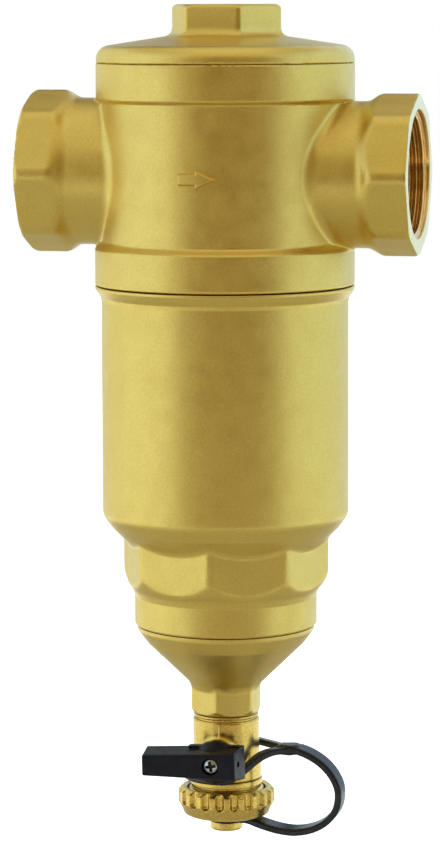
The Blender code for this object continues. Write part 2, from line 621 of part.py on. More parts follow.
def make_strap():
    ring_thickness = 1.9
    ring_centre = Vector((0.3, 0.2, 0)) * MM
    ring_profile = [(15.0, 0.5), (15.0, -0.5), (12.3, -0.5), (12.3, 0.5)]
    flat_ring = turned("strap_ring_flat", ring_profile, FINE)
    graph = bpy.context.evaluated_depsgraph_get()
    ring_mesh = bpy.data.meshes.new_from_object(flat_ring.evaluated_get(graph))
    bpy.data.objects.remove(flat_ring)
    for vert in ring_mesh.vertices:
        angle = math.atan2(vert.co.y, vert.co.x)
        step = math.radians(1)
        along = 2 * step * 13.65
        slope = (strap_ring_height(angle + step) - strap_ring_height(angle - step)) / along
        thickness = ring_thickness * math.sqrt(1 + slope * slope)
        side = 1 if vert.co.z > 0 else -1
        vert.co.z = (strap_ring_height(angle) + side * thickness / 2) * MM
        vert.co += ring_centre
    strap = new_object("cap_strap", ring_mesh)

    route = [(13.6, -193.4), (18.9, -193.1), (24.7, -194.2), (30.5, -197.1), (35.0, -200.8),
             (38.0, -205.4), (38.6, -209.6), (37.4, -213.6), (33.9, -217.4), (29.3, -220.0),
             (23.6, -221.1), (17.8, -220.5), (12.0, -218.9), (8.5, -217.5), (5.6, -217.1)]
    tail = strap_tail(route)
    eye = turned("strap_eye", [(7.6, -216.2), (7.6, -218.3), (4.0, -218.3), (4.0, -216.2)], COARSE)
    join(strap, tail, eye)
    make_part(strap, BLACK_RUBBER)


def smooth_route(route, steps):
    """Points on a smooth curve through the route's points."""
    points = []
    last = len(route) - 1
    for i in range(last):
        before = Vector(route[max(i - 1, 0)])
        start = Vector(route[i])
        end = Vector(route[i + 1])
        after = Vector(route[min(i + 2, last)])
        for k in range(steps):
            t = k / steps
            points.append(0.5 * (2 * start + (end - before) * t
                                 + (2 * before - 5 * start + 4 * end - after) * t * t
                                 + (3 * start - before - 3 * end + after) * t * t * t))
    points.append(Vector(route[last]))
    return points


def strap_tail(route):
    """A flat ribbon along the route, thickened to the strap's section."""
    form = bmesh.new()
    half_width = STRAP_WIDTH / 2 * MM
    previous = None
    for point in smooth_route(route, 2):
        pair = [form.verts.new((point.x * MM, side * half_width, point.y * MM)) for side in (-1, 1)]
        if previous:
            form.faces.new((previous[0], pair[0], pair[1], previous[1]))
        previous = pair
    mesh = bpy.data.meshes.new("strap_tail")
    form.to_mesh(mesh)
    form.free()
    tail = new_object("strap_tail", mesh)
    solid = tail.modifiers.new("Thickness", "SOLIDIFY")
    solid.thickness = STRAP_THICKNESS * MM
    solid.offset = 0
    solid.use_even_offset = True
    return tail


make_body()
make_top_plug()
make_bowl()
make_funnel()
make_element_frame()
diamond_mesh("mesh_outer", 31.2, 8, 4, 1.4)
diamond_mesh("mesh_middle", 21.5, 6, 4, 1.4)
diamond_mesh("mesh_inner", 12.0, 4, 4, 1.4)
make_valve_body()
make_valve_outlet()
make_ball_and_seats()
make_stem()
make_lever()
make_lever_screw()
make_cap()
make_strap()
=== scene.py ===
# Looks of the brass dirt separator: fine meshes, materials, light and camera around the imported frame.
# The frame is the part's own: water flows towards +X, +Z is up and -Y is the front.
# Lengths are written in millimetres, and MM turns them into Blender's metres.

import math

import bpy
import numpy as np
from mathutils import Matrix, Vector


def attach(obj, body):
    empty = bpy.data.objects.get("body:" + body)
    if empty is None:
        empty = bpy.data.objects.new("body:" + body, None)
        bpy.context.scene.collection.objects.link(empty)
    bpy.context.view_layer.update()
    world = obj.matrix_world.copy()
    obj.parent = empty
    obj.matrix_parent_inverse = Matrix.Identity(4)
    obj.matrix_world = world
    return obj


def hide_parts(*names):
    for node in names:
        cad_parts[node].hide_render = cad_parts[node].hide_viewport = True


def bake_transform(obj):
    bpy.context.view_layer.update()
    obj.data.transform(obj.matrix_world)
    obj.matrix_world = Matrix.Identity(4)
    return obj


MM = 0.001

# Body and pipe ends; a step is a pair of heights, counted away from the pipe's axis
PORT_FACE = 65.0
PORT_CORNER_RADIUS = 27.1
PORT_CHAMFER = 0.9
INLET_HALF_FLATS = 25.36
OUTLET_HALF_FLATS = 24.92
INLET_NECK_RADIUS = 24.35
OUTLET_NECK_RADIUS = 24.0
INLET_LIFT = 0.15
OUTLET_LIFT = -0.35
NECK_END = PORT_FACE - 1.5
OCTAGON_BACK = 49.9
OCTAGON_BACK_RADIUS = 24.0
OCTAGON_BACK_SLOPE = 1.1
LINER_RADIUS = 21.3
PASSAGE_RADIUS = 18.5
SOCKET_END = 45.0
BAND_RADIUS = 42.95
UPPER_BAND_RADIUS = 42.65
WAIST_RADIUS = 40.5
UPPER_STEP = (23.1, 24.4)
LOWER_STEP = (22.4, 25.0)
TOP_ASIDE = 0.3
ASIDE_START = 10.0
BODY_TOP = 36.0
BODY_BOTTOM = -36.75
BORE_RADIUS = 37.0

# How far the casting's edges and fillets reach
BAND_EDGE = 0.5
OCTAGON_CORNER = 1.8
OCTAGON_BACK_EDGE = 1.6
PORT_EDGE = 0.6
MOUTH_EDGE = 0.12
OCTAGON_FILLET = 1.8
NECK_FILLET = 2.2

# Factors that keep a distance true where a form slopes
STEP_FACTOR = 0.9
BACK_FACTOR = 0.67
DIAGONAL_FACTOR = 0.707
PLUG_CORNER_FACTOR = 0.7
LEVER_FACTOR = 0.98
HUB_FACTOR = 0.83

# Flow arrow, in the waist's own round
ARROW_REACH = 6.2
ARROW_NECK = -0.5
ARROW_SHAFT = 1.95
ARROW_HEAD = 3.3
ARROW_DROP = 0.4
ARROW_SUNK = -0.45
ARROW_RISE = 1.5
ARROW_SLANT = (0.5, -0.7)
ARROW_ROOT = -1.2
ARROW_PATCH = (7.4, 4.6)
ARROW_SPACING = 0.1

# Screw threads: pipe ends G 1 1/4, drain outlet G 3/4, which is drawn slimmer to clear the cap
PIPE_PITCH = 2.309
PIPE_MAJOR = 20.955
PIPE_MINOR = 19.475
DRAIN_PITCH = 1.814
DRAIN_MAJOR = 12.85
DRAIN_MINOR = 11.75
DRAIN_THREAD_TOP = -206.7
DRAIN_THREAD_END = -212.1

# Top plug
PLUG_HEX_TURN = math.radians(-4.2 + 30)
PLUG_HEX_ASIDE = 0.7
PLUG_HEX_HALF_FLATS = 16.4
PLUG_HEX_CORNER = 1.1
PLUG_HEX_TOP = 55.2
PLUG_HEX_TOP_RADIUS = 17.7
PLUG_HEX_TOP_EDGE = 1.5
PLUG_HEX_EDGE = 0.5
PLUG_HEX_FOOT = 43.0
PLUG_FILLET = 3.2
RIM_ARC_CENTRE = (37.95, 37.3)
RIM_ARC_RADIUS = 4.6

# Bowl and funnel; a run-out is (depth, radius) pairs that end the flats above and below
BOWL_TURN = math.radians(3.8)
BOWL_HALF_FLATS = 32.25
BOWL_RUN_OUT = ((115.0, 36.0), (132.6, 34.9), (134.0, 34.4), (137.0, 32.7), (138.2, 31.2), (139.4, 28.0))
BOWL_FLATS_TOP = -115.0
BOWL_FLATS_BOTTOM = -143.0
BOWL_INSIDE = 28.5
FUNNEL_TURN = math.radians(27.5)
FUNNEL_HALF_FLATS = 10.6
FUNNEL_RUN_OUT = ((168.0, 12.1), (179.7, 12.0), (181.1, 10.7))
FUNNEL_FLATS_TOP = -167.0
FUNNEL_INSIDE = 9.0
LEAST_COSINE = 0.2

# Drain valve; a disc is its radius, middle height, half height and softness
BALL_HEIGHT = -195.0
VALVE_TOP = -183.0
VALVE_BOTTOM = -203.5
VALVE_MIDDLE = (VALVE_TOP + VALVE_BOTTOM) / 2
VALVE_HALF = (VALVE_TOP - VALVE_BOTTOM) / 2
VALVE_RADIUS = 11.15
VALVE_EDGE = 0.6
VALVE_FOOT = (-197.0, -197.9)
VALVE_FOOT_STEP = 0.75
VALVE_RING = (10.9, -181.9, 0.6, 0.7)
VALVE_UNDER_RING = (10.2, -182.4, 1.0, 0.1)
SPIGOT_RADIUS = 8.0
SPIGOT_MIDDLE = -177.5
SPIGOT_HALF = 5.2
PARTING_ASIDE = 0.4
PARTING_HALF_WIDTH = 0.28
PARTING_RADIUS = 11.33
PARTING_TOP = -183.8
PARTING_END = -188.5
BOSS_RADIUS = 6.2
BOSS_REACH = 14.8
BOSS_BACK = 6.0
BOSS_FILLET = 1.8
STEM_BORE_RADIUS = 3.5
STEM_BORE_BACK = 5.0
WAY_RADIUS = 4.5
WAY_END = -186.5
BALL_ROOM_RADIUS = 8.0
BALL_ROOM_END = -199.6
INSERT_BORE_RADIUS = 9.7

# Lever: depths are counted forwards from the ball's middle
LEVER_BACK = 15.2
LEVER_FRONT = 24.5
LEVER_DROOP = math.radians(1.4)
LEVER_SPREAD = 1.3
LEVER_HALF_HEIGHT = 4.18
LEVER_TAPER = 0.033
LEVER_RIGHT = 8.2
LEVER_RIGHT_SPREAD = 1.7
LEVER_LEFT = 23.3
LEVER_LEFT_SPREAD = 0.4
BLOCK_HALF_HEIGHT = 5.75
BLOCK_HALF_WIDTH = 8.6
BLOCK_FRONT = 17.8
HUB_SIDES = 12
HUB_HALF_FLATS = 7.15
HUB_TOP_RADIUS = 7.3
HUB_TOP_START = 17.6
HUB_TOP_SLOPE = 0.68
HUB_FRONT = 20.4
RECESS_RADIUS = 2.85
RECESS_FLOOR = 21.6
HOLE_RADIUS = 1.0
HOLE_UP = 0.4
HOLE_DEPTH = 21.0
HOLE_START = 6.6
STEM_END = 18.7
SCREW_BORE_RADIUS = 1.4

# Lever's screw
SCREW_DOME_CENTRE = 18.3
SCREW_DOME_RADIUS = 5.7
SCREW_HEAD_RADIUS = 2.4
SCREW_HEAD_BACK = 21.7
SHANK_RADIUS = 1.0
SHANK_BACK = 14.6
SHANK_FRONT = 22.0
CROSS_COSINE = 0.985
CROSS_SINE = 0.174
CROSS_TOP = 23.9
CROSS_LENGTH = 1.85
CROSS_LENGTH_TAPER = 0.4
CROSS_WIDTH = 0.52
CROSS_WIDTH_TAPER = 0.06
CROSS_FLOOR = 22.4
# Where the screw's cross recess is painted dark as shade: its radius, depth and how far it is sunk
PAINTED_SHADE_RADIUS = 1.95
PAINTED_SHADE_BACK = 22.2
PAINTED_SHADE_SUNK = 0.15

# Cap with its knurl
CAP_LOBES = 20
CAP_FIRST_NOTCH = math.radians(4.5)
CAP_RADIUS = 16.1
NOTCH_RADIUS = 1.5
NOTCH_DEPTH = 1.05
NOTCH_EDGE = 0.4
NOTCH_ROUND_START = -210.9
KNURL_INSIDE = 14.2
KNURL_BOTTOM = -212.6

# Strap: the ring rises from its low back to where the tail leaves it
STRAP_LEAN_OUT = 0.12
STRAP_LEAN_UP = 0.14
RING_CENTRE = (0.3, 0.2)
RING_RADIUS = 13.65
RING_TIP = 22.5
RING_LOW = -202.4
RING_RISE = 9.0
RING_HIGH_POINT = math.radians(26)
RING_RISE_START = math.radians(112)
RING_RISE_SPAN = math.radians(74)
RING_HALF_THICKNESS = 1.3
RING_HALF_HEIGHT = 1.12
TAIL_HALF_THICKNESS = 1.15
TAIL_HALF_WIDTH = 2.7
TAIL_NARROWING = 1.4
TAIL_NARROW_REACH = (27, 18)
TAIL_NARROW_BOTTOM = -205
TAIL_FILLET = 2.2
EYE_RADIUS = 4.8
EYE_HALF_WIDTH = 1.15
EYE_HEIGHT = -217.45
EYE_HALF_HEIGHT = 0.95
EYE_HOLE_RADIUS = 3.75

# Meshes: cell and sharp angle of the castings, points in a round, and shares of a cell and of a side
CASTING_CELL = 0.5
CASTING_SHARP = math.radians(66)
TURNED_STEPS = 240
NORMAL_REACH = 0.05
PULL_TO_MIDDLE = 0.08
LARGEST_ROUNDING = 0.45

# Camera, fitted to the photograph of 440 x 844 pixels
CAMERA_AZIMUTH = math.radians(13)
CAMERA_PITCH = math.radians(7.21)
CAMERA_ROLL = math.radians(-0.17)
CAMERA_DISTANCE = 1084.7
CAMERA_HEIGHT = 54.2
CAMERA_SHIFT_LEFT = 1.8
SENSOR = 36.0
FOCAL_PIXELS = 3280.0
PICTURE_HEIGHT = 844.0

# Floor: its darker tone near the object, a painted shadow pool, its tone far away, and how far away each
# change starts and ends
FLOOR_HEIGHT = -750.0
FLOOR_HALF = 8000.0
SHADOW_POOL_TONE = (0.68, 0.63, 0.53)
FAR_TONE = (0.82, 0.82, 0.82)
SHADOW_POOL_FADE = (1000.0, 1800.0)
GLOW_CHANGE = (1400.0, 2000.0)
FAR_GLOW = 0.80

# Light tent: name, azimuths and elevations in degrees round the camera's direction, colour, strength
TENT_RADIUS = 2800.0
TENT_CENTRE = -80.0
PANEL_STEPS = 12
TENT_PANELS = [
    ("low_front_panel", (-46, 52), (-14, -1), (1.0, 0.62, 0.18), 0.14),
    ("front_panel", (-32, 47), (-1, 34), (1.0, 0.68, 0.24), 0.32),
    ("near_left_panel", (-46, -32), (-1, 34), (1.0, 0.84, 0.52), 0.62),
    ("near_right_panel", (47, 52), (-1, 34), (1.0, 0.84, 0.52), 0.62),
    ("low_left_panel", (-112, -46), (-14, -4), (0.88, 1.0, 1.03), 1.12),
    ("left_panel", (-112, -46), (-4, 44), (0.88, 1.01, 1.24), 1.12),
    ("far_left_panel", (-158, -112), (-14, 44), (0.88, 0.96, 0.84), 1.02),
    ("low_right_panel", (52, 172), (-14, -4), (0.80, 0.97, 1.03), 0.96),
    ("right_panel", (52, 172), (-4, 44), (0.82, 1.02, 1.30), 1.0),
    ("low_back_panel", (172, 202), (-14, 26), (0.80, 0.94, 1.0), 0.80),
    ("back_panel", (172, 202), (26, 42), (1.0, 0.58, 0.22), 0.04),
    ("upper_front_panel", (-46, 52), (34, 62), (1.0, 0.91, 0.66), 0.80),
    ("upper_left_panel", (-158, -46), (44, 62), (1.0, 0.91, 0.66), 0.58),
    ("upper_right_panel", (52, 172), (44, 62), (1.0, 0.91, 0.66), 0.54),
    ("upper_back_panel", (172, 202), (42, 62), (1.0, 0.91, 0.66), 0.52),
    ("top_panel", (-180, 180), (62, 90), (1.0, 0.96, 0.86), 0.86),
]

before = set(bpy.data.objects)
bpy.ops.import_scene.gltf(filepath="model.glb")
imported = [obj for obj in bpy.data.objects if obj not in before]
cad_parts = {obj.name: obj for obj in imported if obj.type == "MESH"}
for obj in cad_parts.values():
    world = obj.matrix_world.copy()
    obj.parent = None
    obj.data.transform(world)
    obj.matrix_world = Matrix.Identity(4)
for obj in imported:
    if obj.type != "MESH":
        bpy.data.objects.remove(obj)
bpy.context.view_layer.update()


# Signed distances: negative inside, positive outside, in millimetres

def soft_min(a, b, reach):
    """The lesser of two distances, with a fillet where they are nearly the same."""
    share = np.maximum(reach - np.abs(a - b), 0) / reach
    return np.minimum(a, b) - share * share * reach / 4


def soft_max(a, b, reach):
    return -soft_min(-a, -b, reach)


def smooth_step(low, high, value):
    """Goes from 0 at low to 1 at high, level at both ends."""
    share = np.clip((value - low) / (high - low), 0, 1)
    return share * share * (3 - 2 * share)


def outline_distance(points, u, v):
    """Signed distance from (u, v) to a closed outline."""
    nearest = np.full(np.broadcast(u, v).shape, 1e9)
    inside = np.zeros(nearest.shape, bool)
    for i, start in enumerate(points):
        end = points[(i + 1) % len(points)]
        du, dv = end[0] - start[0], end[1] - start[1]
        share = np.clip(((u - start[0]) * du + (v - start[1]) * dv) / (du * du + dv * dv), 0, 1)
        nearest = np.minimum(nearest, (u - start[0] - share * du) ** 2 + (v - start[1] - share * dv) ** 2)
        if dv != 0:
            crosses = (v >= start[1]) != (v >= end[1])
            inside ^= crosses & (u < start[0] + (v - start[1]) * du / dv)
    return np.where(inside, -1, 1) * np.sqrt(nearest)


def line_distance(points, u, v):
    """Distance from (u, v) to an open line of points."""
    nearest = np.full(np.broadcast(u, v).shape, 1e9)
    for start, end in zip(points, points[1:]):
        du, dv = end[0] - start[0], end[1] - start[1]
        share = np.clip(((u - start[0]) * du + (v - start[1]) * dv) / (du * du + dv * dv), 0, 1)
        nearest = np.minimum(nearest, (u - start[0] - share * du) ** 2 + (v - start[1] - share * dv) ** 2)
    return np.sqrt(nearest)


def flats(u, v, sides, half_flats, turn, reach):
    """Distance to a polygon with one flat's normal at the angle turn; reach softens its corners."""
    distance = None
    for i in range(sides):
        angle = turn + i * 2 * math.pi / sides
        side = u * math.cos(angle) + v * math.sin(angle) - half_flats
        distance = side if distance is None else soft_max(distance, side, reach)
    return distance


def disc(away, z, radius, middle, half, reach):
    """An upright disc, whose edges reach softens."""
    return soft_max(away - radius, np.abs(z - middle) - half, reach)


# Meshes

def mesh_piece(name, points, faces):
    """An object from an array of points in millimetres and an array of faces of four points."""
    mesh = bpy.data.meshes.new(name)
    mesh.vertices.add(len(points))
    mesh.vertices.foreach_set("co", (points * MM).astype(np.float32).ravel())
    mesh.loops.add(faces.size)
    mesh.loops.foreach_set("vertex_index", faces.astype(np.int32).ravel())
    mesh.polygons.add(len(faces))
    mesh.polygons.foreach_set("loop_start", np.arange(0, faces.size, 4, dtype=np.int32))
    mesh.update(calc_edges=True)
    mesh.validate()
    mesh.shade_smooth()
    piece = bpy.data.objects.new(name, mesh)
    bpy.context.scene.collection.objects.link(piece)
    return piece


def surface_crossings(values, axes, cell):
    """Where the grid's edges cross the surface, and the four cells round each of those edges."""
    inside = values < 0
    strides = np.array([values.shape[1] * values.shape[2], values.shape[2], 1])
    places, rings = [], []
    for axis in range(3):
        first = [slice(None)] * 3
        second = [slice(None)] * 3
        first[axis] = slice(0, -1)
        second[axis] = slice(1, None)
        found = np.argwhere(inside[tuple(first)] != inside[tuple(second)])
        others = [a for a in range(3) if a != axis]
        found = found[(found[:, others] > 0).all(axis=1)]
        step = np.zeros(3, int)
        step[axis] = 1
        start = values[tuple(found.T)].astype(float)
        end = values[tuple((found + step).T)].astype(float)
        place = np.stack([axes[a][found[:, a]] for a in range(3)], axis=1)
        place[:, axis] += cell * start / (start - end)
        base = found @ strides
        u, v = strides[(axis + 1) % 3], strides[(axis + 2) % 3]
        ring = np.stack([base - u - v, base - v, base, base - u], axis=1)
        ring[start > 0] = ring[start > 0][:, ::-1]
        places.append(place)
        rings.append(ring)
    return np.concatenate(places), np.concatenate(rings)


def field_normals(field, places, reach):
    """The surface's unit normals, from the field a short reach ahead and behind."""
    normals = np.stack([field(*(places + step).T) - field(*(places - step).T) for step in reach * np.eye(3)],
                       axis=1)
    return normals / np.maximum(np.linalg.norm(normals, axis=1, keepdims=True), 1e-9)


def cell_points(places, normals, rings, axes, cell):
    """One point in each crossed cell, where the planes through its crossings come nearest to meeting."""
    cells, faces = np.unique(rings, return_inverse=True)
    faces = faces.reshape(rings.shape)
    owner = faces.ravel()
    count = len(cells)
    place4 = np.repeat(places, 4, axis=0)
    normal4 = np.repeat(normals, 4, axis=0)
    middle = np.stack([np.bincount(owner, place4[:, a], count) for a in range(3)], axis=1)
    middle /= np.bincount(owner, minlength=count)[:, None]
    offset = ((place4 - middle[owner]) * normal4).sum(axis=1)
    matrix = np.empty((count, 3, 3))
    target = np.empty((count, 3))
    for a in range(3):
        target[:, a] = np.bincount(owner, normal4[:, a] * offset, count)
        for b in range(3):
            matrix[:, a, b] = np.bincount(owner, normal4[:, a] * normal4[:, b], count)
    matrix += PULL_TO_MIDDLE * np.eye(3)
    move = np.linalg.solve(matrix, target[:, :, None])[:, :, 0]
    corner = np.stack(np.unravel_index(cells, [len(axis) for axis in axes]), axis=1)
    low = np.stack([axes[a][corner[:, a]] for a in range(3)], axis=1)
    return np.clip(middle + move, low, low + cell), faces


def field_mesh(name, field, low, high, cell, sharp_angle=None):
    """Meshes the surface where field is zero, with one point in each cell, set on the surface's edges."""
    axes = [np.arange(a, b + cell, cell) for a, b in zip(low, high)]
    values = np.empty([len(axis) for axis in axes], np.float32)
    for i, x in enumerate(axes[0]):
        values[i] = field(x, axes[1][:, None], axes[2][None, :])
    places, rings = surface_crossings(values, axes, cell)
    normals = field_normals(field, places, cell * NORMAL_REACH)
    points, faces = cell_points(places, normals, rings, axes, cell)
    piece = mesh_piece(name, points, faces)
    if sharp_angle is not None:
        piece.data.set_sharp_from_angle(angle=sharp_angle)
    return piece


def softened(profile, radius, steps=4):
    """Rounds each corner of a closed profile; a point's own third number is its radius."""
    count = len(profile)
    points = []
    for i, point in enumerate(profile):
        here = Vector(point[:2])
        before = Vector(profile[i - 1][:2])
        after = Vector(profile[(i + 1) % count][:2])
        wanted = point[2] if len(point) > 2 else radius
        to_before, to_after = before - here, after - here
        on_axis = abs(here.x) < 1e-9
        if on_axis or wanted <= 0:
            points.append(here)
            continue
        turn = math.pi - to_before.angle(to_after)
        room = LARGEST_ROUNDING * min(to_before.length, to_after.length)
        reach = min(wanted * math.tan(turn / 2), room)
        start = here + to_before.normalized() * reach
        end = here + to_after.normalized() * reach
        for k in range(steps + 1):
            t = k / steps
            points.append(start * (1 - t) ** 2 + here * 2 * t * (1 - t) + end * t * t)
    return points


def refined(points, spacing):
    """Adds points so that no stretch of a closed line is longer than spacing."""
    made = []
    for i, start in enumerate(points):
        end = points[(i + 1) % len(points)]
        pieces = max(1, math.ceil((end - start).length / spacing))
        for k in range(pieces):
            made.append(start.lerp(end, k / pieces))
    return made


def turned(name, profile, steps, shape, start=0.0, along_pipe=0):
    """Turns a closed profile of (radius, height) points; shape(radius, height, angle) gives the final radius.
    along_pipe is the side of the pipe's axis that the piece's height runs along, or 0 for upright."""
    rows = np.array([point[:] for point in profile])
    angles = start + np.arange(steps) * 2 * math.pi / steps
    radius = np.repeat(rows[:, :1], steps, axis=1)
    height = np.repeat(rows[:, 1:], steps, axis=1)
    radius = shape(radius, height, angles[None, :])
    points = np.stack([radius * np.cos(angles), radius * np.sin(angles), height], axis=2)
    if along_pipe:
        points = points[:, :, [2, 1, 0]]
        points[:, :, 0] *= along_pipe
    here = np.arange(len(rows))[:, None] * steps + np.arange(steps)[None, :]
    below = np.roll(here, -1, axis=0)
    faces = np.stack([here, np.roll(here, -1, axis=1), np.roll(below, -1, axis=1), below], axis=2)
    faces = faces.reshape(-1, 4)
    if along_pipe > 0:
        faces = faces[:, ::-1]
    piece = mesh_piece(name, points.reshape(-1, 3), faces)
    weighted = piece.modifiers.new("Even shading", "WEIGHTED_NORMAL")
    weighted.keep_sharp = True
    return piece


def thread_wave(height, angle, pitch, hand=1):
    """Swings between 0 and 1 once in each pitch, along a helix."""
    phase = (height - hand * pitch * angle / (2 * math.pi)) / pitch
    return np.abs(2 * (phase - np.floor(phase)) - 1)


# Materials: the grain of a surface is its size in mm, depth in mm and strength

def new_material(name, colour, metallic, roughness):
    made = bpy.data.materials.new(name)
    made.use_nodes = True
    shader = made.node_tree.nodes["Principled BSDF"]
    shader.inputs["Base Color"].default_value = (*colour, 1)
    shader.inputs["Metallic"].default_value = metallic
    shader.inputs["Roughness"].default_value = roughness
    return made, made.node_tree, shader


def object_place(tree):
    """The object's own coordinates, in metres."""
    return tree.nodes.new("ShaderNodeTexCoord").outputs["Object"]


def noise(tree, scale, detail, place):
    """A noise texture with scale features in a metre."""
    texture = tree.nodes.new("ShaderNodeTexNoise")
    texture.inputs["Scale"].default_value = scale
    texture.inputs["Detail"].default_value = detail
    tree.links.new(place, texture.inputs["Vector"])
    return texture.outputs["Fac"]


def spread(tree, value, low, high, source_low=0.3, source_high=0.7):
    """Maps a value to a range; most of a noise texture lies between 0.3 and 0.7."""
    mapped = tree.nodes.new("ShaderNodeMapRange")
    mapped.inputs["From Min"].default_value = source_low
    mapped.inputs["From Max"].default_value = source_high
    mapped.inputs["To Min"].default_value = low
    mapped.inputs["To Max"].default_value = high
    tree.links.new(value, mapped.inputs["Value"])
    return mapped.outputs["Result"]


def mix_colours(tree, share, first, second):
    """Mixes two colours, each a tuple or an output of another node."""
    mixed = tree.nodes.new("ShaderNodeMix")
    mixed.data_type = "RGBA"
    tree.links.new(share, mixed.inputs["Factor"])
    for socket, colour in ((mixed.inputs[6], first), (mixed.inputs[7], second)):
        if isinstance(colour, tuple):
            socket.default_value = (*colour, 1)
        else:
            tree.links.new(colour, socket)
    return mixed.outputs[2]


def combined(tree, operation, first, second):
    """A Math node of two values."""
    made = tree.nodes.new("ShaderNodeMath")
    made.operation = operation
    tree.links.new(first, made.inputs[0])
    tree.links.new(second, made.inputs[1])
    return made.outputs["Value"]


def bump(tree, height, distance, strength, below=None):
    made = tree.nodes.new("ShaderNodeBump")
    made.inputs["Strength"].default_value = strength
    made.inputs["Distance"].default_value = distance * MM
    tree.links.new(height, made.inputs["Height"])
    if below:
        tree.links.new(below, made.inputs["Normal"])
    return made.outputs["Normal"]


def brass(name, light, deep, roughness, grain):
    """Brass with a blasted grain, in two tones that mix in wide patches and in fine specks."""
    made, tree, shader = new_material(name, light, 1.0, roughness)
    place = object_place(tree)
    patches = spread(tree, noise(tree, 45, 3, place), 0.0, 0.3)
    specks = spread(tree, noise(tree, 1500, 2, place), 0.0, 0.7)
    tone = mix_colours(tree, patches, light, deep)
    tone = mix_colours(tree, specks, tone, deep)
    tree.links.new(tone, shader.inputs["Base Color"])
    wear = spread(tree, noise(tree, 160, 4, place), roughness - 0.05, roughness + 0.06)
    tree.links.new(wear, shader.inputs["Roughness"])
    size, depth, strength = grain
    fine = bump(tree, noise(tree, 1 / (size * MM), 3, place), depth, strength)
    coarse = bump(tree, noise(tree, 0.22 / (size * MM), 2, place), depth * 1.6, strength * 0.5, fine)
    tree.links.new(coarse, shader.inputs["Normal"])
    shader.inputs["Coat Weight"].default_value = 0.35
    shader.inputs["Coat Roughness"].default_value = 0.38
    return made


def moulded(name, colour, roughness, grain, gloss=0.5, bloom=0.0):
    """Moulded plastic or rubber with a fine skin; bloom is the bluish grey that old rubber shows edge-on."""
    made, tree, shader = new_material(name, colour, 0.0, roughness)
    shader.inputs["Specular IOR Level"].default_value = gloss
    shader.inputs["Sheen Weight"].default_value = bloom
    shader.inputs["Sheen Roughness"].default_value = 0.3
    shader.inputs["Sheen Tint"].default_value = (0.70, 0.88, 0.96, 1)
    place = object_place(tree)
    dull = tuple(min(1.0, part * 1.6 + 0.004) for part in colour)
    tone = mix_colours(tree, spread(tree, noise(tree, 300, 4, place), 0.0, 1.0), colour, dull)
    tree.links.new(tone, shader.inputs["Base Color"])
    wear = spread(tree, noise(tree, 500, 3, place), roughness - 0.06, roughness + 0.08)
    tree.links.new(wear, shader.inputs["Roughness"])
    size, depth, strength = grain
    skin = bump(tree, noise(tree, 1 / (size * MM), 2, place), depth, strength)
    tree.links.new(skin, shader.inputs["Normal"])
    return made


def plated(name, colour, roughness):
    """Plated metal with faint marks."""
    made, tree, shader = new_material(name, colour, 1.0, roughness)
    place = object_place(tree)
    dull = tuple(part * 0.75 for part in colour)
    tone = mix_colours(tree, spread(tree, noise(tree, 1500, 3, place), 0.0, 0.6), colour, dull)
    tree.links.new(tone, shader.inputs["Base Color"])
    marks = bump(tree, noise(tree, 4000, 2, place), 0.01, 0.3)
    tree.links.new(marks, shader.inputs["Normal"])
    return made


cast_brass = brass("cast_brass", light=(0.79, 0.61, 0.158), deep=(0.69, 0.49, 0.092), roughness=0.40,
                   grain=(0.42, 0.03, 0.5))
machined_brass = brass("machined_brass", light=(0.88, 0.76, 0.30), deep=(0.80, 0.64, 0.20), roughness=0.26,
                       grain=(0.25, 0.006, 0.3))
valve_brass = brass("valve_brass", light=(0.79, 0.59, 0.14), deep=(0.52, 0.32, 0.05), roughness=0.25,
                    grain=(0.32, 0.03, 0.6))
thread_brass = brass("thread_brass", light=(0.84, 0.56, 0.17), deep=(0.66, 0.38, 0.09), roughness=0.18,
                     grain=(0.25, 0.01, 0.3))
lever_plastic = moulded("lever_plastic", (0.002, 0.002, 0.008), 0.34, (0.30, 0.012, 0.5), gloss=0.26)
strap_rubber = moulded("strap_rubber", (0.002, 0.003, 0.006), 0.22, (0.5, 0.01, 0.35), gloss=0.45, bloom=0.8)
seal_rubber = moulded("seal_rubber", (0.014, 0.014, 0.015), 0.5, (0.4, 0.01, 0.4))
element_plastic = moulded("element_plastic", (0.28, 0.30, 0.32), 0.5, (0.4, 0.01, 0.4))
seat_plastic = moulded("seat_plastic", (0.82, 0.82, 0.79), 0.4, (0.5, 0.005, 0.3))
zinc_plate = plated("zinc_plate", (0.66, 0.72, 0.74), 0.3)
# Near-black plated metal: painted shade in the screw's cross recess
recess_painted_shade = plated("recess_painted_shade", (0.05, 0.07, 0.08), 0.5)
chrome_plate = plated("chrome_plate", (0.75, 0.75, 0.76), 0.12)


def finish_piece(piece, material, body, node=None):
    piece.data.materials.append(material)
    if body:
        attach(piece, body)
    if node:
        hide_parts(node)


# Body: barrel, necks and octagonal ends in one casting

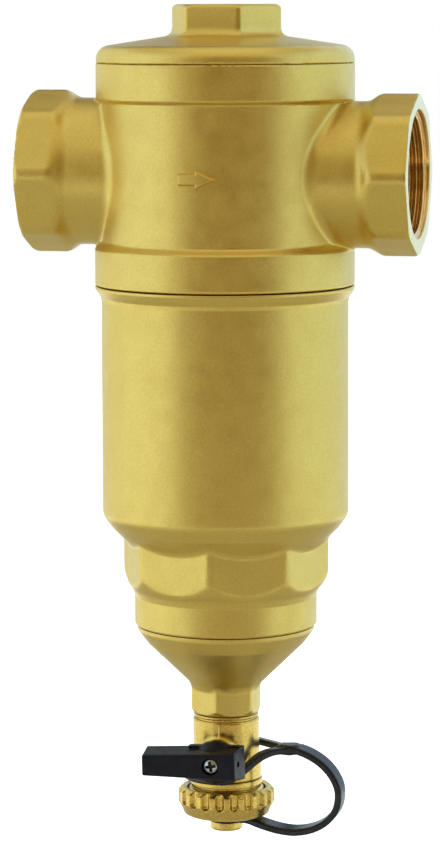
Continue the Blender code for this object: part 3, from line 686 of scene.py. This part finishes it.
def body_field(x, y, z):
    away = np.sqrt(x * x + y * y)
    round_pipe = np.sqrt(y * y + z * z)
    reach = np.abs(x) + 0 * round_pipe
    upper_step = (UPPER_BAND_RADIUS - WAIST_RADIUS) * smooth_step(*UPPER_STEP, z)
    lower_step = (BAND_RADIUS - WAIST_RADIUS) * smooth_step(*LOWER_STEP, -z)
    radius = WAIST_RADIUS + upper_step + lower_step
    aside = TOP_ASIDE * smooth_step(ASIDE_START, UPPER_STEP[1], z)
    outside = np.sqrt((x - aside) ** 2 + y * y)
    ends = np.abs(z - (BODY_TOP + BODY_BOTTOM) / 2) - (BODY_TOP - BODY_BOTTOM) / 2
    barrel = soft_max((outside - radius) * STEP_FACTOR, ends, BAND_EDGE)
    lift = np.where(x > 0, OUTLET_LIFT, INLET_LIFT)
    neck_radius = np.where(x > 0, OUTLET_NECK_RADIUS, INLET_NECK_RADIUS)
    half_flats = np.where(x > 0, OUTLET_HALF_FLATS, INLET_HALF_FLATS)
    neck = np.maximum(np.sqrt(y * y + (z - lift) ** 2) - neck_radius, reach - NECK_END)
    octagon = flats(y, z - lift, 8, half_flats, math.pi / 8, OCTAGON_CORNER)
    back = (round_pipe - OCTAGON_BACK_RADIUS - (reach - OCTAGON_BACK) * OCTAGON_BACK_SLOPE) * BACK_FACTOR
    front = (round_pipe - (PORT_CORNER_RADIUS - PORT_CHAMFER) - (PORT_FACE - reach)) * DIAGONAL_FACTOR
    octagon = soft_max(octagon, back, OCTAGON_BACK_EDGE)
    octagon = soft_max(octagon, front, PORT_EDGE)
    octagon = soft_max(octagon, reach - PORT_FACE, MOUTH_EDGE)
    pipe = soft_min(neck, octagon, OCTAGON_FILLET)
    solid = soft_min(barrel, pipe, NECK_FILLET)
    solid = np.maximum(solid, reach - PORT_FACE)
    chamber = away - BORE_RADIUS
    socket = np.where(reach > SOCKET_END, round_pipe - LINER_RADIUS, round_pipe - PASSAGE_RADIUS)
    return np.maximum(np.maximum(solid, -chamber), -socket)


def make_body():
    """The casting, with the faces of its pipe ends machined bright."""
    piece = field_mesh("cast_body", body_field, (-66, -44, -39), (66, 44, 37.5), CASTING_CELL, CASTING_SHARP)
    finish_piece(piece, cast_brass, "root", "body")
    piece.data.materials.append(machined_brass)
    centres = np.empty(len(piece.data.polygons) * 3)
    piece.data.polygons.foreach_get("center", centres)
    across = np.abs(centres.reshape(-1, 3)[:, 0]) > (PORT_FACE - MOUTH_EDGE) * MM
    piece.data.polygons.foreach_set("material_index", across.astype(np.int32))


def make_pipe_thread(name, side):
    """The machined mouth and thread inside a pipe end."""
    back = SOCKET_END + 0.5
    mouth = PORT_FACE - 0.05
    outer = LINER_RADIUS + 0.2
    profile = softened([(outer, back), (outer, mouth), (LINER_RADIUS, mouth),
                        (PIPE_MAJOR + 0.15, PORT_FACE - 0.3, 0.1), (PIPE_MAJOR, PORT_FACE - 1.6),
                        (PIPE_MAJOR, back)], 0)
    profile = refined(profile, PIPE_PITCH / 12)

    def thread(radius, height, angle):
        inner = (radius > PIPE_MAJOR - 0.3) & (radius < LINER_RADIUS - 0.05)
        crest = smooth_step(0.18, 0.82, thread_wave(height, angle, PIPE_PITCH, side))
        run_in = smooth_step(PORT_FACE - 0.8, PORT_FACE - 1.5, height)
        run_out = smooth_step(SOCKET_END + 0.6, SOCKET_END + 3.2, height)
        depth = (PIPE_MAJOR - PIPE_MINOR) * crest * run_in * run_out
        return np.where(inner, radius - depth, radius)

    piece = turned(name, profile, 160, thread, along_pipe=side)
    finish_piece(piece, thread_brass, "root")


def make_arrow():
    """A raised flow arrow that follows the round of the waist, as a patch with a flat back."""
    upper = [(ARROW_NECK, ARROW_HEAD), (ARROW_NECK, ARROW_SHAFT), (-ARROW_REACH, ARROW_SHAFT)]
    lower = [(u, -v) for u, v in reversed(upper)]
    outline = [*lower, (ARROW_REACH, 0.0), *upper]
    across, up = (np.linspace(-half, half, round(2 * half / ARROW_SPACING) + 1) for half in ARROW_PATCH)
    u, v = np.meshgrid(across, up, indexing="ij")
    distance = outline_distance(outline, u, v + ARROW_DROP)
    proud = ARROW_SUNK + ARROW_RISE * smooth_step(*ARROW_SLANT, distance)
    angle = u / WAIST_RADIUS
    layers = []
    for depth in (proud, np.full_like(proud, ARROW_ROOT)):
        radius = WAIST_RADIUS + depth
        layers.append(np.stack([radius * np.sin(angle), -radius * np.cos(angle), v], axis=2))
    rows, columns = u.shape
    index = np.arange(rows * columns).reshape(rows, columns)
    top = np.stack([index[:-1, :-1], index[1:, :-1], index[1:, 1:], index[:-1, 1:]], axis=2).reshape(-1, 4)
    under = top[:, ::-1] + rows * columns
    rim = np.concatenate([index[:-1, 0], index[-1, :-1], index[1:, -1][::-1], index[0, 1:][::-1]])
    following = np.roll(rim, -1)
    wall = np.stack([rim, rim + rows * columns, following + rows * columns, following], axis=1)
    points = np.concatenate([layer.reshape(-1, 3) for layer in layers])
    piece = mesh_piece("flow_arrow", points, np.concatenate([top, under, wall]))
    finish_piece(piece, cast_brass, "root")


# Top plug: dome with a soft spanner hexagon

def rim_arc():
    """The cover's rim from the dome down to the seam."""
    angles = [math.radians(80 - 10 * k) for k in range(9)]
    return [(RIM_ARC_CENTRE[0] + RIM_ARC_RADIUS * math.cos(angle),
             RIM_ARC_CENTRE[1] + RIM_ARC_RADIUS * math.sin(angle)) for angle in angles]


PLUG_PROFILE = softened([(0, 46.0), (20.8, 44.6, 4), *rim_arc(), (42.55, 36.4, 0.1), (42.05, 36.3),
                         (42.05, 36.02), (36.6, 36.02), (36.6, 35.0), (34.4, 35.0), (34.4, 32.4),
                         (36.6, 32.4), (36.6, 24.0, 0.6), (32.0, 24.0), (32.0, 35.0), (30.0, 37.0),
                         (13.0, 39.0), (11.5, 41.0), (0, 41.5)], 0, 6)


def plug_field(x, y, z):
    away = np.sqrt((x - TOP_ASIDE) ** 2 + y * y)
    cover = outline_distance(PLUG_PROFILE, away, z + 0 * away)
    around_hexagon = np.sqrt((x - PLUG_HEX_ASIDE) ** 2 + y * y)
    hexagon = flats(x - PLUG_HEX_ASIDE, y, 6, PLUG_HEX_HALF_FLATS, PLUG_HEX_TURN, PLUG_HEX_CORNER)
    corners = (around_hexagon - PLUG_HEX_TOP_RADIUS - (PLUG_HEX_TOP - z)) * PLUG_CORNER_FACTOR
    hexagon = soft_max(hexagon, corners, PLUG_HEX_EDGE)
    hexagon = soft_max(hexagon, z - PLUG_HEX_TOP, PLUG_HEX_TOP_EDGE)
    hexagon = soft_max(hexagon, PLUG_HEX_FOOT - z, PLUG_HEX_EDGE)
    return soft_min(cover, hexagon, PLUG_FILLET)


def make_plug():
    piece = field_mesh("plug_cover", plug_field, (-43.3, -43.3, 23), (43.3, 43.3, 56), CASTING_CELL,
                       CASTING_SHARP)
    finish_piece(piece, cast_brass, "root", "top_plug")


# Bowl and funnel: turned forms whose radius is widened into an octagon and a hexagon

def polygon_radius(angle, sides, half_flats, turn, reach):
    """Radius of a polygon with a corner at the angle turn, softened at its corners."""
    sector = 2 * math.pi / sides
    within = np.mod(angle - turn, sector)
    first = half_flats / np.cos(within - sector / 2)
    before = half_flats / np.maximum(np.cos(within + sector / 2), LEAST_COSINE)
    after = half_flats / np.maximum(np.cos(within - sector * 1.5), LEAST_COSINE)
    return soft_min(soft_min(first, before, reach), after, reach)


def widened(radius, height, polygon, run_out, edge, fillet):
    """A turned form's radius, widened to a polygon as far as its run-out lets it."""
    depths, radii = zip(*run_out)
    limited = soft_min(polygon, np.interp(-height, depths, radii), edge)
    return soft_max(radius, limited, fillet)


def bowl_shape(radius, height, angle):
    octagon = polygon_radius(angle, 8, BOWL_HALF_FLATS, BOWL_TURN, 0.9)
    outer = (radius > BOWL_INSIDE) & (height < BOWL_FLATS_TOP) & (height > BOWL_FLATS_BOTTOM)
    return np.where(outer, widened(radius, height, octagon, BOWL_RUN_OUT, 0.8, 1.2), radius)


def make_bowl():
    profile = [(32.6, -26.0, 0.3), (36.6, -26.0, 0.5), (36.6, -33.8, 0.1), (34.4, -33.8, 0.1),
               (34.4, -36.4, 0.1), (36.6, -36.4, 0.1), (36.6, -37.15, 0.1), (43.0, -37.15, 0.4),
               (43.0, -38.0, 1.0), (42.1, -39.6, 1.2), (41.2, -40.9, 1.2), (41.0, -42.2, 1.0),
               (41.0, -113.7, 5.0), (37.9, -117.9, 5.0), (31.3, -124.4, 2.0), (31.3, -138.2, 0.6),
               (30.5, -141.0, 1.5), (30.5, -150.3, 0.5), (30.0, -150.8, 0.2), (27.0, -150.8, 0.2),
               (27.0, -122.5, 2.0), (37.4, -113.5, 3.0), (37.4, -43.3, 0.5), (32.6, -38.5, 0.5)]
    points = refined(softened(profile, 0.2, 5), 0.7)
    piece = turned("dirt_bowl", points, TURNED_STEPS, bowl_shape, BOWL_TURN)
    finish_piece(piece, cast_brass, "root", "bowl")


def funnel_shape(radius, height, angle):
    hexagon = polygon_radius(angle, 6, FUNNEL_HALF_FLATS, FUNNEL_TURN, 1.0)
    outer = (radius > FUNNEL_INSIDE) & (height < FUNNEL_FLATS_TOP)
    return np.where(outer, widened(radius, height, hexagon, FUNNEL_RUN_OUT, 0.3, 1.8), radius)


def make_funnel():
    profile = [(21.5, -141.5, 0.3), (26.6, -141.5, 0.5), (26.6, -147.2, 0.1), (24.5, -147.2, 0.1),
               (24.5, -149.8, 0.1), (26.6, -149.8, 0.1), (26.6, -151.1, 0.1), (29.8, -151.1, 0.2),
               (29.6, -152.6, 1.2), (26.2, -157.1, 4.0), (12.1, -170.8, 3.0), (10.2, -173.2, 1.5),
               (10.2, -181.1, 0.0), (8.4, -181.1, 0.2), (8.4, -171.9, 0.1), (6.5, -171.9, 0.1),
               (6.5, -171.0, 0.5), (21.5, -156.5, 2.0)]
    points = refined(softened(profile, 0.2, 5), 0.5)
    piece = turned("bowl_cone", points, TURNED_STEPS, funnel_shape, FUNNEL_TURN)
    finish_piece(piece, cast_brass, "root", "funnel")


# Drain valve

def valve_field(x, y, z):
    away = np.sqrt(x * x + y * y)
    radius = VALVE_RADIUS + VALVE_FOOT_STEP * smooth_step(*VALVE_FOOT, z)
    barrel = disc(away, z, radius, VALVE_MIDDLE, VALVE_HALF, VALVE_EDGE)
    parting = soft_max(np.abs(x - PARTING_ASIDE) - PARTING_HALF_WIDTH, away - PARTING_RADIUS + 0 * z, 0.2)
    parting = np.maximum(parting, np.maximum(y, PARTING_END - z))
    barrel = soft_min(barrel, np.maximum(parting, z - PARTING_TOP), 0.25)
    ring = np.minimum(disc(away, z, *VALVE_RING), disc(away, z, *VALVE_UNDER_RING))
    barrel = np.minimum(barrel, ring)
    spigot = np.maximum(away - SPIGOT_RADIUS, np.abs(z - SPIGOT_MIDDLE) - SPIGOT_HALF)
    around_stem = np.sqrt(x * x + (z - BALL_HEIGHT) ** 2)
    boss = soft_max(around_stem - BOSS_RADIUS, -y - BOSS_REACH, 0.4)
    boss = np.maximum(boss, y + BOSS_BACK)
    solid = soft_min(np.minimum(barrel, spigot), boss, BOSS_FILLET)
    lower_bore = np.where(z > BALL_ROOM_END, BALL_ROOM_RADIUS, INSERT_BORE_RADIUS)
    hollow = away - np.where(z > WAY_END, WAY_RADIUS, lower_bore)
    stem = np.maximum(around_stem - STEM_BORE_RADIUS, y + STEM_BORE_BACK)
    return np.maximum(np.maximum(solid, -hollow), -stem)


def make_valve():
    piece = field_mesh("valve_barrel", valve_field, (-12.6, -15.6, -204.3), (12.6, 12.6, -171.6),
                       cell=0.28, sharp_angle=math.radians(38))
    finish_piece(piece, valve_brass, "root", "valve_body")


def make_outlet():
    profile = [(7.2, -199.9, 0.1), (9.5, -199.9, 0.2), (9.5, -203.56, 0.1), (12.2, -203.56, 0.3),
               (12.2, -205.4, 0.4), (11.7, -205.4, 0.1), (11.7, -206.6, 0.1), (DRAIN_MAJOR, -207.2, 0.1),
               (DRAIN_MAJOR, -211.8, 0.1), (12.3, -212.2, 0.1), (7.0, -212.2, 0.1), (7.0, -210.0, 0.3),
               (4.5, -207.0, 0.3), (4.5, -203.5, 0.2), (7.2, -203.5, 0.1)]
    points = refined(softened(profile, 0.1), DRAIN_PITCH / 10)

    def thread(radius, height, angle):
        root = 1 - smooth_step(0.2, 0.8, thread_wave(height, angle, DRAIN_PITCH))
        depth = (DRAIN_MAJOR - DRAIN_MINOR) * root * smooth_step(-206.8, -207.6, height)
        threaded = (radius > 12.6) & (height < DRAIN_THREAD_TOP) & (height > DRAIN_THREAD_END)
        return np.where(threaded, radius - depth, radius)

    piece = turned("outlet_insert", points, 120, thread)
    finish_piece(piece, valve_brass, "root", "valve_outlet")


# Lever and screw

def lever_field(x, y, z):
    depth = -y + 0 * x
    across = x * math.cos(LEVER_DROOP) + (z - BALL_HEIGHT) * math.sin(LEVER_DROOP)
    up = (z - BALL_HEIGHT) * math.cos(LEVER_DROOP) - x * math.sin(LEVER_DROOP)
    behind = (LEVER_FRONT - depth) / (LEVER_FRONT - LEVER_BACK)
    side = np.abs(up) - LEVER_HALF_HEIGHT - LEVER_TAPER * across - LEVER_SPREAD * behind
    right_end = across - LEVER_RIGHT - LEVER_RIGHT_SPREAD * behind
    left_end = -LEVER_LEFT - across - LEVER_LEFT_SPREAD * behind
    bar = soft_max(soft_max(side, right_end, 0.5), left_end, 0.7) * LEVER_FACTOR
    bar = soft_max(bar, depth - LEVER_FRONT, 0.7)
    bar = soft_max(bar, LEVER_BACK - depth, 0.5)
    block = np.maximum(np.abs(up) - BLOCK_HALF_HEIGHT, np.abs(across + 0.1) - BLOCK_HALF_WIDTH)
    block = np.maximum(block, depth - BLOCK_FRONT)
    bar = np.minimum(bar, np.maximum(block, LEVER_BACK + 0.02 - depth))
    around = np.sqrt(x * x + (z - BALL_HEIGHT) ** 2)
    hub = flats(x, z - BALL_HEIGHT, HUB_SIDES, HUB_HALF_FLATS, math.pi / HUB_SIDES, 0.3)
    hub_top = (around - HUB_TOP_RADIUS + (depth - HUB_TOP_START) * HUB_TOP_SLOPE) * HUB_FACTOR
    hub = soft_max(hub, hub_top, 0.4)
    hub = np.maximum(np.maximum(hub, depth - HUB_FRONT), LEVER_BACK + 0.05 - depth)
    solid = soft_min(bar, hub, 0.6)
    recess = soft_max(around - RECESS_RADIUS, RECESS_FLOOR - depth, 0.3)
    hole = np.sqrt((up - HOLE_UP) ** 2 + (depth - HOLE_DEPTH) ** 2) - HOLE_RADIUS
    hole = np.maximum(hole, HOLE_START - across)
    stem = np.maximum(around - STEM_BORE_RADIUS, depth - STEM_END)
    screw = around - SCREW_BORE_RADIUS
    for cut in (recess, hole, stem, screw):
        solid = np.maximum(solid, -cut)
    return solid


def make_lever():
    piece = field_mesh("lever_grip", lever_field, (-25.0, -25.2, -204.5), (11.4, -14.6, -186.5),
                       cell=0.25, sharp_angle=math.radians(42))
    finish_piece(piece, lever_plastic, "lever", "handle")


def screw_field(x, y, z):
    depth = -y + 0 * x
    up = z - BALL_HEIGHT
    around = np.sqrt(x * x + up * up)
    dome = np.sqrt(around ** 2 + (depth - SCREW_DOME_CENTRE) ** 2) - SCREW_DOME_RADIUS
    head = soft_max(around - SCREW_HEAD_RADIUS, dome, 0.2)
    head = np.maximum(head, SCREW_HEAD_BACK - depth)
    shank = np.maximum(np.maximum(around - SHANK_RADIUS, SHANK_BACK - depth), depth - SHANK_FRONT)
    along = np.abs(x * CROSS_COSINE + up * CROSS_SINE)
    other = np.abs(up * CROSS_COSINE - x * CROSS_SINE)
    length = CROSS_LENGTH - (CROSS_TOP - depth) * CROSS_LENGTH_TAPER
    width = CROSS_WIDTH - (CROSS_TOP - depth) * CROSS_WIDTH_TAPER
    cross = np.minimum(np.maximum(along - length, other - width), np.maximum(other - length, along - width))
    cross = np.maximum(cross, CROSS_FLOOR - depth)
    return np.maximum(np.minimum(head, shank), -cross)


def make_screw():
    """The screw, with the faces sunk into its cross recess in a near-black material that paints the recess's
    shade.
    """
    piece = field_mesh("lever_screw", screw_field, (-2.6, -24.3, -197.6), (2.6, -14.2, -192.4),
                       cell=0.1, sharp_angle=math.radians(40))
    finish_piece(piece, zinc_plate, "lever", "handle_screw")
    piece.data.materials.append(recess_painted_shade)
    # Faces deep in the cross recess get the near-black material, which is painted shade.
    for face in piece.data.polygons:
        across, depth, up = face.center.x / MM, -face.center.y / MM, face.center.z / MM - BALL_HEIGHT
        around = math.hypot(across, up)
        sunk = SCREW_DOME_RADIUS - math.hypot(around, depth - SCREW_DOME_CENTRE)
        face.material_index = int(around < PAINTED_SHADE_RADIUS and depth > PAINTED_SHADE_BACK and sunk > PAINTED_SHADE_SUNK)


# Cap with its knurl, and the strap

def cap_shape(radius, height, angle):
    """Cuts the knurl's notches, which end in a round at their lower end."""
    sector = 2 * math.pi / CAP_LOBES
    from_notch = np.mod(angle - CAP_FIRST_NOTCH + sector / 2, sector) - sector / 2
    aside = from_notch * CAP_RADIUS
    below = np.maximum(NOTCH_ROUND_START - height, 0)
    share = np.clip(1 - (aside ** 2 + below ** 2) / NOTCH_RADIUS ** 2, 0, 1)
    floor = CAP_RADIUS - NOTCH_RADIUS * np.sqrt(share) * NOTCH_DEPTH
    notched = soft_min(radius, floor, NOTCH_EDGE)
    return np.where((radius > KNURL_INSIDE) & (height > KNURL_BOTTOM) & (share > 0), notched, radius)


def make_cap():
    profile = [(0, -214.1), (13.3, -214.1, 0.2), (13.3, -207.1, 0.1), (13.8, -206.6, 0.1),
               (14.6, -206.6, 0.3), (CAP_RADIUS, -207.8, 0.5), (CAP_RADIUS, -211.9, 1.2),
               (15.1, -213.4, 1.5), (14.4, -215.6, 1.4), (12.4, -216.4, 0.8), (3.6, -216.2, 0.3),
               (3.6, -218.7, 0.1), (5.5, -218.7, 0.2), (5.5, -220.9, 0.5), (4.9, -221.5, 0.4), (0, -221.5)]
    points = refined(softened(profile, 0.2), 0.25)
    piece = turned("knurled_cap", points, 480, cap_shape, CAP_FIRST_NOTCH)
    finish_piece(piece, valve_brass, "cap_shell", "cap")


def smooth_route(route, steps):
    """Points on a smooth curve through the route's points."""
    last = len(route) - 1
    points = []
    for i in range(last):
        before, start, end, after = (Vector(route[k]) for k in (max(i - 1, 0), i, i + 1, min(i + 2, last)))
        second = 2 * before - 5 * start + 4 * end - after
        third = 3 * start - before - 3 * end + after
        for k in range(steps):
            t = k / steps
            points.append(0.5 * (2 * start + (end - before) * t + second * t * t + third * t * t * t))
    points.append(Vector(route[last]))
    return points


def teardrop(steps):
    """The ring seen from above: a circle that runs out into the tail at the right."""
    reach = math.acos(RING_RADIUS / RING_TIP)
    around = [(RING_TIP, 0.0)]
    for k in range(steps + 1):
        angle = reach + (2 * math.pi - 2 * reach) * k / steps
        around.append((RING_RADIUS * math.cos(angle), RING_RADIUS * math.sin(angle)))
    around.append((RING_TIP, 0.0))
    return around


STRAP_ROUTE = smooth_route([(19.4, -192.9), (25.6, -193.3), (31.6, -196.0), (36.0, -199.9), (38.7, -204.8),
                            (39.0, -209.6), (37.6, -213.9), (34.0, -217.7), (29.2, -220.1), (23.5, -221.1),
                            (17.6, -220.5), (12.0, -219.0), (8.5, -217.8), (5.6, -217.45)], 4)
RING_PATH = teardrop(40)


def strap_field(x, y, z):
    from_centre_x, from_centre_y = x - RING_CENTRE[0] + 0 * z, y - RING_CENTRE[1] + 0 * z
    angle = np.arctan2(from_centre_y, from_centre_x)
    turned_away = np.abs(np.mod(angle - RING_HIGH_POINT + math.pi, 2 * math.pi) - math.pi)
    share = np.clip((RING_RISE_START - turned_away) / RING_RISE_SPAN, 0, 1)
    height = RING_LOW + RING_RISE * share * share * (3 - 2 * share)
    slope = RING_RISE * 6 * share * (1 - share) / RING_RISE_SPAN / RING_RADIUS
    lean = np.sqrt(1 + slope * slope)
    sideways = line_distance(RING_PATH, from_centre_x, from_centre_y)
    ring = soft_max(sideways - RING_HALF_THICKNESS, np.abs(z - height) / lean - RING_HALF_HEIGHT, 0.5)
    line = line_distance(STRAP_ROUTE, x - STRAP_LEAN_OUT * y + 0 * z, z - STRAP_LEAN_UP * y)
    narrowing = TAIL_NARROWING * smooth_step(*TAIL_NARROW_REACH, x + 0 * z)
    narrower = np.where(z > TAIL_NARROW_BOTTOM, narrowing, 0)
    tail = soft_max(line - TAIL_HALF_THICKNESS, np.abs(y) - (TAIL_HALF_WIDTH - narrower), 0.6)
    around_button = np.sqrt(x * x + y * y)
    eye = disc(np.abs(around_button - EYE_RADIUS), z, EYE_HALF_WIDTH, EYE_HEIGHT, EYE_HALF_HEIGHT, 0.4)
    whole = soft_min(soft_min(ring, tail, TAIL_FILLET), eye, 1.0)
    return np.maximum(whole, EYE_HOLE_RADIUS - around_button)


def make_strap():
    piece = field_mesh("cap_strap_moulded", strap_field, (-15.4, -15.6, -222.9), (41.2, 16, -190), cell=0.3)
    finish_piece(piece, strap_rubber, None, "cap_strap")
    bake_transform(piece)


# Materials of the solids that the frame brings along

def finish_frame():
    looks = {
        seal_rubber: ("top_plug_o_ring", "bowl_o_ring", "funnel_o_ring", "valve_o_ring", "stem_o_ring",
                      "cap_gasket"),
        element_plastic: ("element_frame", "mesh_outer", "mesh_middle", "mesh_inner"),
        seat_plastic: ("upper_seat", "lower_seat"),
        chrome_plate: ("ball",),
        valve_brass: ("valve_stem",),
    }
    for material, names in looks.items():
        for name in names:
            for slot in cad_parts[name].material_slots:
                slot.material = material


# Floor, light and camera

def studio_mesh(name, points, faces, material):
    """An object of the studio, which isn't part of the product, from points in metres."""
    mesh = bpy.data.meshes.new(name)
    mesh.from_pydata(points, [], faces)
    mesh.materials.append(material)
    thing = bpy.data.objects.new(name, mesh)
    bpy.context.scene.collection.objects.link(thing)
    return thing


def make_floor():
    """A pale floor, well below because the part hangs on its pipe. Near the object it is a darker warm tone,
    a painted shadow pool under the object; far away the camera and the metal see it as white."""
    made, tree, shader = new_material("pale_floor", FAR_TONE, 0.0, 0.9)
    shader.inputs["Specular IOR Level"].default_value = 0.0
    rays = tree.nodes.new("ShaderNodeLightPath").outputs
    seen = combined(tree, "MAXIMUM", rays["Is Camera Ray"], rays["Is Glossy Ray"])
    seen = combined(tree, "MAXIMUM", seen, rays["Is Transmission Ray"])
    level = tree.nodes.new("ShaderNodeVectorMath")
    level.operation = "MULTIPLY"
    level.inputs[1].default_value = (1, 1, 0)
    tree.links.new(object_place(tree), level.inputs[0])
    away = tree.nodes.new("ShaderNodeVectorMath")
    away.operation = "LENGTH"
    tree.links.new(level.outputs["Vector"], away.inputs[0])
    glow = spread(tree, away.outputs["Value"], 0.0, FAR_GLOW, *(edge * MM for edge in GLOW_CHANGE))
    # The tone darkens towards the object: a painted shadow pool in the floor's colour, which the metal also
    # reflects.
    out_of_shadow_pool = spread(tree, away.outputs["Value"], 0.0, 1.0, *(edge * MM for edge in SHADOW_POOL_FADE))
    tree.links.new(mix_colours(tree, out_of_shadow_pool, SHADOW_POOL_TONE, FAR_TONE), shader.inputs["Base Color"])
    shader.inputs["Emission Color"].default_value = (1, 1, 1, 1)
    tree.links.new(combined(tree, "MULTIPLY", seen, glow), shader.inputs["Emission Strength"])
    half, height = FLOOR_HALF * MM, FLOOR_HEIGHT * MM
    corners = [(-half, -half, height), (half, -half, height), (half, half, height), (-half, half, height)]
    floor = studio_mesh("floor", corners, [(0, 1, 2, 3)], made)


def make_panel(name, azimuths, elevations, colour, strength):
    """One glowing panel of the light tent, on a ball round the object; the camera looks through it."""
    points = []
    for i in range(PANEL_STEPS + 1):
        turn = azimuths[0] + (azimuths[1] - azimuths[0]) * i / PANEL_STEPS
        azimuth = CAMERA_AZIMUTH + math.radians(turn)
        for k in range(PANEL_STEPS + 1):
            elevation = math.radians(elevations[0] + (elevations[1] - elevations[0]) * k / PANEL_STEPS)
            points.append(Vector((TENT_RADIUS * math.sin(azimuth) * math.cos(elevation),
                                  -TENT_RADIUS * math.cos(azimuth) * math.cos(elevation),
                                  TENT_CENTRE + TENT_RADIUS * math.sin(elevation))) * MM)
    side = PANEL_STEPS + 1
    faces = [(i * side + k, i * side + k + 1, (i + 1) * side + k + 1, (i + 1) * side + k)
             for i in range(PANEL_STEPS) for k in range(PANEL_STEPS)]
    made, _, shader = new_material(name, (0, 0, 0), 0.0, 1.0)
    shader.inputs["Specular IOR Level"].default_value = 0.0
    shader.inputs["Emission Color"].default_value = (*colour, 1)
    shader.inputs["Emission Strength"].default_value = strength
    panel = studio_mesh(name, points, faces, made)
    panel.visible_camera = False


def make_light_tent():
    """Bright cool panels at the sides, dim warm ones in front, soft warm ones above, a dark one behind."""
    for panel in TENT_PANELS:
        make_panel(*panel)


def make_world():
    world = bpy.data.worlds.new("studio")
    bpy.context.scene.world = world
    world.use_nodes = True
    background = world.node_tree.nodes["Background"]
    background.inputs["Color"].default_value = (1, 1, 1, 1)
    background.inputs["Strength"].default_value = 1.0


def make_camera():
    camera = bpy.data.cameras.new("camera")
    camera.sensor_width = SENSOR
    camera.lens = SENSOR * FOCAL_PIXELS / PICTURE_HEIGHT
    camera.clip_start = 0.01
    camera.clip_end = 100
    holder = bpy.data.objects.new("camera", camera)
    bpy.context.scene.collection.objects.link(holder)
    sine, cosine = math.sin(CAMERA_AZIMUTH), math.cos(CAMERA_AZIMUTH)
    holder.location = Vector((CAMERA_DISTANCE * sine - CAMERA_SHIFT_LEFT * cosine,
                              -CAMERA_DISTANCE * cosine - CAMERA_SHIFT_LEFT * sine, CAMERA_HEIGHT)) * MM
    holder.matrix_world = (Matrix.Translation(holder.location)
                           @ Matrix.Rotation(CAMERA_AZIMUTH, 4, "Z")
                           @ Matrix.Rotation(math.pi / 2 - CAMERA_PITCH, 4, "X")
                           @ Matrix.Rotation(CAMERA_ROLL, 4, "Z"))
    bpy.context.scene.camera = holder


make_body()
make_pipe_thread("inlet_thread", -1)
make_pipe_thread("outlet_thread", 1)
make_arrow()
make_plug()
make_bowl()
make_funnel()
make_valve()
make_outlet()
make_lever()
make_screw()
make_cap()
make_strap()
finish_frame()
make_floor()
make_light_tent()
make_world()
make_camera()
bpy.context.scene.view_settings.view_transform = "Standard"
